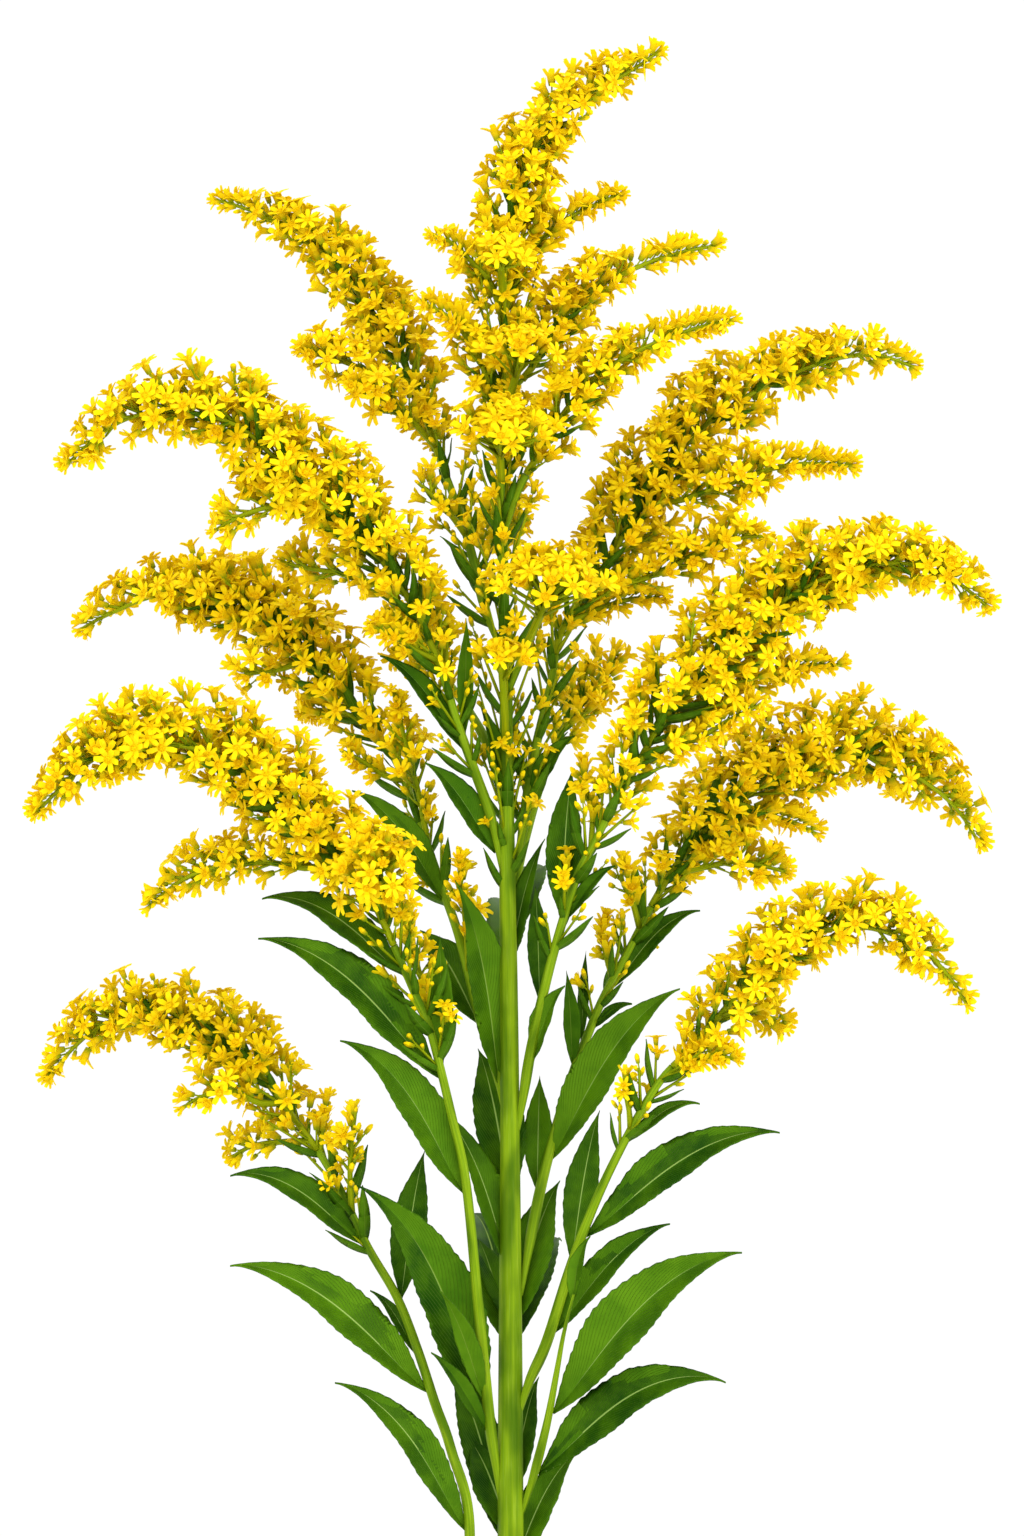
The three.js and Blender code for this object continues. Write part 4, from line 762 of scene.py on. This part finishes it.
# A spray's outline: share of its length, and half its width as a share of its reach
sprayShape = [(0, 0.45), (0.1, 0.85), (0.28, 1.03), (0.5, 0.96), (0.68, 0.74), (0.84, 0.44), (1, 0.18)]
slenderShape = [(0, 0.75), (0.15, 1), (0.35, 0.85), (0.52, 0.6), (0.75, 0.42), (1, 0.25)]
slenderLines = ["R1a", "R1b", "L0b", "L0a", "R0a", "R2b", "R3b"]
bloom = {
    "step": 1.34 * mm,
    "uneven": (0.9, 1.1),
    "turnPlay": 0.3,
    "fuller": 1.1,
    "leanRoot": math.radians(37),
    "leanTip": math.radians(35),
    "spacing": 2.05 * mm,
    "headedRoot": 0.38,
    "headedTip": 1.0,
    "headTilt": math.radians(46),
    "endTilt": 0.3,
    "headSize": (0.88, 1.1),
    "outward": 0.3,
    "upward": 0.5,
    "upper": 0.15,  # how much longer the twigs above the stalk are
    "ragged": (-0.22, 0.06),
    "thinFrom": 0.45,  # from this share on, some twigs in front of and under the stalk are left out
    "frontSkip": 0.42,
    "underSkip": 0.3,
    "bract": (0.6, 0.95),
    "headReach": 3.0 * mm,
    "leastTwig": 2.6 * mm,
    "tipFree": 4.0 * mm,
    "tipSize": 0.66,
    "rachisRoot": 0.95 * mm,
    "rachisTip": 0.42 * mm,
    "rachisRow": 3 * mm,
    "rachisSides": 6,
    "rachisStart": 0.3 * mm,
    "rachisEnd": 1.5 * mm,
    "firstTwig": 0.5 * mm,
    "twig": 0.38 * mm,
    "twigSides": 4,
}
# Near a tip the heads sit one by one, in a rank above the stalk and a rank below it
single = {
    "step": 1.12 * mm,
    "size": (0.98, 1.14),
    "tipSize": 0.7,
    "taper": 16 * mm,
    "lessLean": 0.06,
    "lessOpen": 0.75,
    "shortTwig": 0.5 * mm,
}
# Turn from straight up in radians, size, share that may be buds, and how much of the room the twig takes
ranks = [
    {"turn": (-0.3, 0.5), "size": 1, "budded": 0.35, "twig": 0.45},
    {"turn": (2.0, 3.1), "size": 0.8, "budded": 0.7, "twig": 0.25},
]


def addTwig(bm, root, tip):
    shape = newShape()
    way = tip - root
    radii = (bloom["twig"] * 1.25, bloom["twig"] * 0.8)
    matrix = aimed(root.lerp(tip, 0.5), way.normalized(), 0, 1)
    sides = bloom["twigSides"]
    addCone(shape, twigSlot, sides, radii, way.length, matrix, lambda spot: (0.3, spot.z / (10 * mm)))
    for face in shape.faces:
        face.smooth = len(face.verts) == 4
    join(bm, meshFrom(shape, "twig"))


# Of the open heads, the share that is of each kind or of one before it. Of the buds, the share of big ones
openKinds = {"open7": 0.33, "open6": 0.75, "cupped": 1.0}
bigBuds = 0.6


def pickHead(draw, openShare):
    luck = draw.random()
    for kind, share in openKinds.items():
        if luck < openShare * share:
            return kind
    return "bud" if luck < openShare + (1 - openShare) * bigBuds else "smallBud"


def addHead(bm, draw, kind, spot, facing, scale):
    matrix = aimed(spot, facing.normalized(), draw.uniform(0, 6), scale)
    tint = draw.random()
    placeCopy(bm, headMeshes[kind], matrix, lambda y: tint)


# A side twig that carries heads along its outer part
def addBranchlet(bm, draw, root, way, length, radial, turn, openShare, size, headed):
    tip = root + way * length
    addTwig(bm, root, tip)
    count = 1 + int(length * headed / (bloom["spacing"] * size))
    sideways = way.orthogonal().normalized()
    heads = 0
    for k in range(count):
        tilt = bloom["headTilt"] + draw.uniform(-0.25, 0.25) if k else draw.uniform(0, bloom["endTilt"])
        around = Matrix.Rotation(k * goldenTurn + turn, 3, way) @ sideways
        facing = way * math.cos(tilt) + around * math.sin(tilt)
        facing = facing + radial * bloom["outward"] + up * bloom["upward"]
        if k and facing.normalized().dot(radial) < 0:
            continue
        scale = size * draw.uniform(*bloom["headSize"])
        addHead(bm, draw, pickHead(draw, openShare), tip - way * k * bloom["spacing"] * size, facing, scale)
        heads += 1
    return heads


def addSingle(bm, draw, middle, ahead, lean, room, left, rank, openShare):
    upwards = (up - ahead * ahead.z).normalized()
    side = draw.uniform(*rank["turn"])
    radial = Matrix.Rotation(math.copysign(side, ahead.x), 3, ahead) @ upwards
    tapered = single["tipSize"] + (1 - single["tipSize"]) * min(1, left / single["taper"])
    size = draw.uniform(*single["size"]) * tapered * rank["size"]
    lean -= single["lessLean"]
    facing = ahead * math.cos(lean) + radial * math.sin(lean)
    kind = "cupped"
    if draw.random() < rank["budded"]:
        kind = pickHead(draw, openShare * single["lessOpen"])
    foot = middle
    if room > single["shortTwig"]:
        foot = middle + facing * room * rank["twig"]
        addTwig(bm, middle, foot)
    addHead(bm, draw, kind, foot, facing, size)


def growSpray(bm, draw, lineName, startShare, bare, reach, openShare):
    line = lines[lineName]
    begin = startShare * line.length
    first = begin + bare * mm
    last = line.length
    span = last - first

    def rachisAt(share):
        return blend(bloom["rachisRoot"], bloom["rachisTip"], share)

    rows = max(4, round((last - begin) / bloom["rachisRow"]))
    ends = (begin + bloom["rachisStart"], last - bloom["rachisEnd"])
    join(bm, tubeMesh(line, *ends, rachisAt, bloom["rachisSides"], rows, twigSlot))
    shape = slenderShape if lineName in slenderLines else sprayShape
    far = first + bloom["firstTwig"]
    number = 0
    heads = 0
    while far < last - bloom["tipFree"]:
        share = (far - first) / span
        radius = reach * bloom["fuller"] * mm * between(shape, share)
        middle, ahead, across, other = line.frameAt(far)
        opened = openShare * (1 - 0.5 * max(0.0, share - 0.8) / 0.2)  # more buds in the last fifth
        lean = blend(bloom["leanRoot"], bloom["leanTip"], share)
        room = (radius - bloom["headReach"]) / math.sin(lean)
        if room < bloom["leastTwig"]:
            addSingle(bm, draw, middle, ahead, lean, room, last - far, ranks[number % 2], opened)
            heads += 1
            number += 1
            far += single["step"] * draw.uniform(*bloom["uneven"])
            continue
        far += bloom["step"] * draw.uniform(*bloom["uneven"])
        number += 1
        turn = number * goldenTurn + draw.uniform(-bloom["turnPlay"], bloom["turnPlay"])
        radial = across * math.cos(turn) + other * math.sin(turn)
        thinned = share > bloom["thinFrom"]
        if thinned and radial.dot(towardsViewer) > 0.6 and draw.random() < bloom["frontSkip"]:
            continue
        if thinned and radial.z < -0.35 and draw.random() < bloom["underSkip"]:
            continue
        length = room * (1 + bloom["upper"] * radial.z + draw.uniform(*bloom["ragged"]))
        way = (ahead * math.cos(lean) + radial * math.sin(lean)).normalized()
        headed = blend(bloom["headedRoot"], bloom["headedTip"], min(1, share * 1.6))
        heads += addBranchlet(bm, draw, middle, way, length, radial, turn, opened, 1.0, headed)
        if draw.random() < 1 - share:
            size = draw.uniform(*bloom["bract"]) * room
            addBract(bm, draw, middle, way + ahead * 0.3 + radial * 0.3, radial, size)
    middle, ahead, across, other = line.frameAt(last - bloom["tipFree"])
    addHead(bm, draw, "cupped" if openShare > 0.5 else "bud", middle, ahead, bloom["tipSize"])
    return heads


# A cluster on a short stalk that comes towards the viewer, with twigs spread like an umbrella's ribs
cluster = {
    "lift": 3.2,
    "stalk": 1.0,
    "stalkFoot": 1.15,
    "stalkTaper": 0.15,
    "wide": 1.4,
    "tall": 0.95,
    "spread": math.radians(84),
    "apart": 5.3 * mm,
    "ragged": (0.6, 1.1),
    "fan": (0.1, 1.5),
    "headSize": (0.9, 1.08),
    "towards": 0.15,
}


def growCluster(bm, draw, lineName, startShare, bare, reach, openShare):
    line = lines[lineName]
    begin = startShare * line.length
    reach = reach * mm
    end = line.length - reach * cluster["stalk"]

    def stalkAt(share):
        return bloom["rachisRoot"] * (cluster["stalkFoot"] - cluster["stalkTaper"] * share)

    rows = max(4, round((end - begin) / bloom["rachisRow"]))
    ends = (begin + bloom["rachisStart"], end)
    join(bm, tubeMesh(line, *ends, stalkAt, bloom["rachisSides"], rows, twigSlot))
    foot, ahead, across, other = line.frameAt(end)
    axis = (ahead + up * cluster["lift"]).normalized()
    sideways = axis.orthogonal().normalized()
    cap = 1 - math.cos(cluster["spread"])
    count = round(2 * math.pi * (reach * cluster["wide"]) ** 2 * cap / cluster["apart"] ** 2)
    for k in range(count):
        slope = math.acos(1 - cap * (k + 0.5) / count)
        around = Matrix.Rotation(k * goldenTurn + draw.uniform(-0.15, 0.15), 3, axis) @ sideways
        way = (axis * math.cos(slope) + around * math.sin(slope)).normalized()
        size = math.hypot(cluster["wide"] * math.sin(slope), cluster["tall"] * math.cos(slope)) * reach
        size *= draw.uniform(*cluster["ragged"])
        start = line.at(max(begin, end - draw.uniform(*cluster["fan"]) * reach))
        tip = foot + way * (size - headTall)
        addTwig(bm, start, tip)
        facing = way + up * bloom["upward"] + towardsViewer * cluster["towards"]
        addHead(bm, draw, pickHead(draw, openShare), tip, facing, draw.uniform(*cluster["headSize"]))
    return count


# Each spray node: its arms as line, start share, bare length and reach in mm, then the share of open heads
sprays = {
    "plume_top": (
        [("main", 0.813, 0, 9.2), ("L0a", 0, 4, 5.5), ("R0a", 0, 4, 6), ("F1", 0, 5, 6.5), ("G1", 0, 4, 4)],
        0.88,
    ),
    "plume_left_1": ([("L1", 0.352, 0, 9), ("L1b", 0, 7, 5.5), ("L1c", 0, 7, 6)], 0.85),
    "plume_left_2": ([("L2", 0.292, 0, 12), ("L2b", 0, 8, 5.5), ("L2c", 0, 8, 5.5), ("L2d", 0, 5, 4)], 0.9),
    "plume_left_3": ([("L3", 0.474, 0, 11.5), ("L3b", 0, 8, 5), ("L3c", 0, 4, 4)], 0.9),
    "plume_left_4": ([("L4", 0.547, 0, 12.2), ("L4b", 0, 8, 6), ("L4c", 0, 6, 9)], 0.92),
    "plume_left_5": ([("L5", 0.693, 0, 9.5), ("L5b", 0, 7, 5), ("L5c", 0, 7, 5)], 0.88),
    "plume_right_1a": ([("R1a", 0.1, 0, 8)], 0.85),
    "plume_right_1b": ([("R1b", 0.2, 0, 8.5)], 0.85),
    "plume_right_2": ([("R2", 0.303, 0, 11), ("R2b", 0, 8, 7), ("R2c", 0, 8, 6.5), ("R2d", 0, 5, 4)], 0.9),
    "plume_right_3": ([("R3", 0.395, 0, 12.5), ("R3b", 0, 9, 6), ("R3c", 0, 4, 4)], 0.92),
    "plume_right_4": ([("R4", 0.477, 0, 12.2), ("R4b", 0, 8, 6), ("R4c", 0, 4, 4)], 0.92),
    "plume_right_5": ([("R5", 0.506, 0, 9), ("R5b", 0, 7, 5), ("R5c", 0, 4, 4)], 0.88),
    "spray_left_top": ([("L0b", 0, 3, 7)], 0.85),
    "spray_front_2": ([("F2", 0, 3, 8)], 0.9),
    "spray_front_3": ([("F3", 0.25, 0, 10.5)], 0.95),
    "spray_front_4": ([("F4", 0.3, 0, 12)], 0.95),
    "spray_front_5": ([("F5", 0, 3, 6.5)], 0.8),
    "spray_back_1": ([("G2", 0.42, 0, 6.5)], 0.55),
    "spray_back_2": ([("G3", 0.55, 0, 7.5)], 0.6),
    "spray_back_3": ([("G4", 0.52, 0, 7.5)], 0.6),
    "side_spray_left_1": ([("L1d", 0, 5, 5)], 0.5),
    "side_spray_left_2": ([("S_L2", 0, 5, 4.5)], 0.4),
    "side_spray_left_3a": ([("S_L3a", 0, 5, 5.5)], 0.4),
    "side_spray_left_3b": ([("S_L3b", 0, 5, 4.5), ("S_L3c", 0, 4, 3.5)], 0.35),
    "side_spray_left_4": ([("S_L4", 0, 6, 5)], 0.35),
    "side_spray_left_5a": ([("S_L5a", 0, 5, 5), ("S_L5b", 0, 4, 3.5)], 0.4),
    "side_spray_right_3": ([("S_R3", 0, 5, 4.5)], 0.35),
    "side_spray_right_4a": ([("S_R4a", 0, 5, 4.5), ("S_R4b", 0, 4, 3.5)], 0.35),
    "side_spray_right_5": ([("S_R5", 0, 4, 4)], 0.35),
}
clusterLines = ["F1", "F2", "F3", "F4", "F5"]
bareShares = {"R6": 0.98}  # share of each line that is bare stem
allHeads = 0
for index, (node, (arms, openShare)) in enumerate(sprays.items()):
    draw = random.Random(400 + index)
    bm = newShape()
    for arm in arms:
        grow = growCluster if arm[0] in clusterLines else growSpray
        allHeads += grow(bm, draw, *arm, openShare)
        bareShares[arm[0]] = arm[1]
    addPiece(node + "_florets", bm, plantMaterials, node)
print("sprays grown,", allHeads, "heads")

# Stems: node, line, root and end radius in mm, ribs
stalks = [
    ("main_stem", "main", 4.15, 0.95, 7),
    ("branch_left_1", "L1", 1.35, 0.9, 3),
    ("branch_left_2", "L2", 1.45, 0.95, 3),
    ("branch_left_3", "L3", 1.45, 0.95, 3),
    ("branch_left_4", "L4", 1.5, 0.95, 5),
    ("shoot_left", "L5", 1.75, 0.95, 5),
    ("branch_right_2", "R2", 1.45, 0.95, 3),
    ("branch_right_3", "R3", 1.45, 0.95, 3),
    ("branch_right_4", "R4", 1.5, 0.95, 3),
    ("branch_right_5", "R5", 1.5, 0.95, 3),
    ("leafy_shoot_right", "R6", 1.5, 0.3, 3),
]
# Short bare stalks that belong to the main stem, with their root radius in mm
mainTwigs = {"R1a": 1.2, "R1b": 1.3, "G2": 1.3, "G3": 1.5, "G4": 1.5, "F3": 1.3, "F4": 1.5}
stem = {
    "row": 2.5 * mm,
    "parting": 16 * mm,  # length over which a branch widens from its foot
    "foot": 0.3,
    "swell": 0.02,
    "swellEvery": 19 * mm,
    "ribDepth": 0.014,
    "sides": {0: 8, 3: 12, 5: 15, 7: 42},  # by number of ribs
}
# Small flowering shoots on the stems: from and to as shares of the line, share of open heads,
# lean in degrees, and length of the longest in mm
shoots = {
    "main": (0.54, 0.81, 0.6, 21, 34),
    "L1": (0.06, 0.36, 0.55, 30, 17),
    "L2": (0.14, 0.3, 0.5, 28, 20),
    "L3": (0.3, 0.48, 0.5, 30, 17),
    "L4": (0.42, 0.55, 0.45, 30, 17),
    "L5": (0.6, 0.7, 0.5, 30, 17),
    "R2": (0.08, 0.31, 0.6, 28, 22),
    "R3": (0.22, 0.4, 0.5, 30, 17),
    "R4": (0.33, 0.48, 0.45, 30, 17),
    "R5": (0.38, 0.51, 0.45, 30, 17),
}
shoot = {
    "every": 3.5 * mm,
    "shortest": 0.5,
    "size": 0.82,
    "headed": 0.45,
    "upward": 0.15,
    "turnPlay": 0.4,
    "leanPlay": 0.12,
    "uneven": (0.8, 1.2),
    "bract": (8 * mm, 15 * mm),
    "clear": 1.0 * mm,
}


def growShoots(bm, draw, lineName):
    low, high, openShare, leaning, longest = shoots[lineName]
    line = lines[lineName]
    far = low * line.length
    number = 0
    while far < high * line.length:
        middle, ahead, across, other = line.frameAt(far)
        turn = number * goldenTurn + draw.uniform(-shoot["turnPlay"], shoot["turnPlay"])
        radial = across * math.cos(turn) + other * math.sin(turn)
        lean = math.radians(leaning) + draw.uniform(-shoot["leanPlay"], shoot["leanPlay"])
        way = (ahead * math.cos(lean) + radial * math.sin(lean) + up * shoot["upward"]).normalized()
        grown = (far / line.length - low) / (high - low)
        length = longest * mm * draw.uniform(shoot["shortest"], 0.7 + 0.3 * grown)
        opened = openShare * (0.35 + 0.5 * grown)
        addBranchlet(bm, draw, middle, way, length, radial, turn, opened, shoot["size"], shoot["headed"])
        size = draw.uniform(*shoot["bract"])
        addBract(bm, draw, middle + radial * shoot["clear"], way + radial * 0.25, radial, size)
        far += shoot["every"] * draw.uniform(*shoot["uneven"])
        number += 1


def addStem(bm, lineName, rootRadius, endRadius, ribs):
    line = lines[lineName]
    length = line.length * bareShares[lineName]

    def radiusAt(place):
        swell = stem["swell"] * math.sin(place * length / stem["swellEvery"])
        parting = min(1.0, stem["foot"] + (1 - stem["foot"]) * place * length / stem["parting"])
        if lineName == "main":
            parting = 1.0
        return blend(rootRadius, endRadius, place) * mm * (1 + swell) * parting

    rows = max(6, round(length / stem["row"]))
    tube = (0, length, radiusAt, stem["sides"][ribs], rows, stemSlot, ribs, stem["ribDepth"])
    join(bm, tubeMesh(line, *tube))


leafNumber = 0
for index, (node, lineName, rootRadius, endRadius, ribs) in enumerate(stalks):
    draw = random.Random(900 + index)
    bm = newShape()
    addStem(bm, lineName, rootRadius, endRadius, ribs)
    if lineName == "main":
        for twigLine, twigRadius in mainTwigs.items():
            addStem(bm, twigLine, twigRadius, 1.0, 0)
    if lineName in shoots:
        growShoots(bm, draw, lineName)
    for owner, *leaf in leafRows:
        if owner == lineName:
            leafNumber += 1
            join(bm, leafMesh(owner, *leaf, leafNumber))
    addPiece(node + "_leafy", bm, plantMaterials, node)
print("stems grown,", leafNumber, "leaves")


# A closed outline, or one that starts and ends on the axis, turned round Z
def turned(outline, segments):
    bm = newShape()
    verts = [bm.verts.new((radius * mm, 0, height * mm)) for radius, height in outline]
    onAxis = outline[0][0] == 0
    ends = verts[1:] if onAxis else verts[1:] + verts[:1]
    edges = [bm.edges.new(pair) for pair in zip(verts, ends)]
    full = 2 * math.pi
    bmesh.ops.spin(
        bm, geom=verts + edges, cent=(0, 0, 0), axis=up, angle=full, steps=segments, use_merge=True
    )
    bmesh.ops.remove_doubles(bm, verts=bm.verts, dist=1e-6)
    for face in bm.faces:
        face.smooth = True
    return bm


# Clay pot: outline in mm as radius and height, from the drain hole's rim out and up
pot = {
    "outline": [
        (7, 6), (7, 0), (53, 0), (55.3, 2), (72.6, 112), (75.6, 113), (80, 138), (78, 140), (72, 140),
        (71, 138), (66.3, 112), (52, 20), (49.9, 6),
    ],
    "segments": 96,
    "edge": 0.8 * mm,
    "sharp": math.radians(40),
}
look = Look("fired_clay")
spot = look.place()
cloud = look.noise(spot, 18, 4.0)
grit = look.noise(spot, 420, 4.0, 0.7)
chalk = look.noise(spot, 34, 6.0, 0.7)
body = look.mix(cloud.rise(0.3, 0.7), (176, 98, 62), (203, 124, 84))
body = look.mix(grit.rise(0.52, 0.72) * 0.35, body, (150, 80, 50))
body = look.mix(chalk.rise(0.58, 0.78) * 0.3, body, (226, 196, 172))
clayMaterial = look.finish(body, 0.78 + grit * 0.18, 0.25, grit + chalk * 0.4, 0.3 * mm)
bm = turned(pot["outline"], pot["segments"])
bmesh.ops.recalc_face_normals(bm, faces=bm.faces)
rims = [edge for edge in bm.edges if edge.calc_face_angle(0) > pot["sharp"]]
bmesh.ops.bevel(bm, geom=rims, offset=pot["edge"], segments=2, profile=0.5, affect="EDGES", material=-1)
addPiece("clay_pot", bm, [clayMaterial], "pot")
print("pot turned")

# Soil: a low mound inside the pot with crumbs and grit on it
soil = {
    "outline": [
        (0, 6.3), (49, 6.3), (66.9, 118), (67.8, 122), (60, 122.6), (50, 123.2), (40, 123.7), (30, 124.2),
        (20, 124.4), (10, 124.5), (0, 124.5),
    ],
    "segments": 96,
    "rough": 0.9 * mm,
    "crumbs": 520,
    "spread": 66 * mm,
    "crumb": (0.5 * mm, 2.1 * mm),
    "mound": 2.5 * mm,
    "top": 122 * mm,
    "rim": 0.3 * mm,
}
look = Look("potting_soil")
spot = look.place()
crumb = look.noise(spot, 260, 6.0, 0.7)
damp = look.noise(spot, 22, 3.0)
fibre = look.noise(spot, 900, 4.0, 0.6)
body = look.mix(crumb.rise(0.35, 0.7), (38, 26, 18), (84, 61, 43))
body = look.mix(fibre.rise(0.6, 0.75) * 0.4, body, (120, 92, 66))
body = look.mix(damp.rise(0.45, 0.65) * 0.5, body, (30, 21, 15))
soilMaterial = look.finish(body, 0.85 + crumb * 0.12, 0.2, crumb + fibre * 0.4, 0.9 * mm)


def soilHeight(x, y):
    far = min(1.0, math.hypot(x, y) / soil["spread"])
    rough = math.sin(x * 310 + 1.3) * math.cos(y * 260 - 0.4) + 0.5 * math.sin(x * 720 + y * 540)
    return soil["top"] + soil["mound"] * (1 - far**2) + soil["rough"] * rough * (1 - far**4) * 0.6


bm = turned(soil["outline"], soil["segments"])
for vert in bm.verts:
    if vert.co.z > soil["top"] + soil["rim"]:
        vert.co.z = soilHeight(vert.co.x, vert.co.y)
crumbShape = newShape()
bmesh.ops.create_icosphere(crumbShape, subdivisions=1, radius=1)
crumbMesh = meshFrom(crumbShape, "crumb")
draw = random.Random(77)
for _ in range(soil["crumbs"]):
    far = soil["spread"] * math.sqrt(draw.random())
    turn = draw.uniform(0, 2 * math.pi)
    x, y = far * math.cos(turn), far * math.sin(turn)
    size = draw.uniform(*soil["crumb"]) * draw.uniform(0.5, 1)
    stretch = Matrix.Diagonal((size, size * draw.uniform(0.6, 1), size * draw.uniform(0.45, 0.8), 1))
    tumble = Matrix.Rotation(draw.uniform(0, 3), 4, (draw.random(), draw.random(), 0.5))
    matrix = Matrix.Translation((x, y, soilHeight(x, y))) @ tumble @ stretch
    placeCopy(bm, crumbMesh, matrix, lambda y: 0)
addPiece("soil_fill", bm, [soilMaterial], "soil")
print("soil laid")

# Floor that fades out all round, so that only the shade near the pot shows
ground = {"radius": 1.6, "drop": 0.0005, "fade": (0.45, 1.5)}
look = Look("studio_floor")
spot = look.node("ShaderNodeVectorMath", {"operation": "LENGTH"}, {0: look.place()}, "Value")
dust = look.noise(look.place(), 30, 3.0)
look.tree.links.new((1 - spot.rise(*ground["fade"])).socket, look.shader.inputs["Alpha"])
colour = look.mix(dust, (244, 243, 241), (250, 249, 247))
floorMaterial = look.finish(colour, 0.85 + dust * 0.1, 0.1)
bm = newShape()
bmesh.ops.create_circle(bm, cap_ends=True, radius=ground["radius"], segments=96)
floor = addObject("floor", meshFrom(bm, "floor"))
floor.location.z = -ground["drop"]
floor.data.materials.append(floorMaterial)

# Soft studio light: a bright room, a large key lamp at the upper left, a weak fill at the right
world = bpy.data.worlds.new("studio")
bpy.context.scene.world = world
world.use_nodes = True
background = world.node_tree.nodes["Background"]
background.inputs["Color"].default_value = (1.0, 1.0, 1.0, 1.0)
background.inputs["Strength"].default_value = 1.04
lamps = {
    "key": {"spot": (-0.9, -2.3, 1.7), "size": 2.0, "watts": 38},
    "fill": {"spot": (1.7, -1.6, 0.5), "size": 1.6, "watts": 24},
    "rim": {"spot": (0.6, 1.6, 1.7), "size": 1.2, "watts": 10},
}
aim = Vector((0, 0, 0.36))
for name, lamp in lamps.items():
    light = bpy.data.lights.new(name, "AREA")
    light.size = lamp["size"]
    light.energy = lamp["watts"]
    holder = addObject(name, light)
    holder.location = lamp["spot"]
    holder.rotation_euler = (aim - holder.location).to_track_quat("-Z", "Y").to_euler()

# Camera straight in front, level, at the height of the picture's middle
view = {"spot": (0.0005, -2.4, 0.382), "lens": 225, "sensor": 36, "clip": 20}
camera = bpy.data.cameras.new("camera")
camera.lens = view["lens"]
camera.sensor_width = view["sensor"]
camera.clip_end = view["clip"]
holder = addObject("camera", camera)
holder.location = view["spot"]
holder.rotation_euler = (math.radians(90), 0, 0)
bpy.context.scene.camera = holder
bpy.context.scene.view_settings.view_transform = "Standard"
for mesh in list(headMeshes.values()) + [bractTemplate, crumbMesh]:
    bpy.data.meshes.remove(mesh)
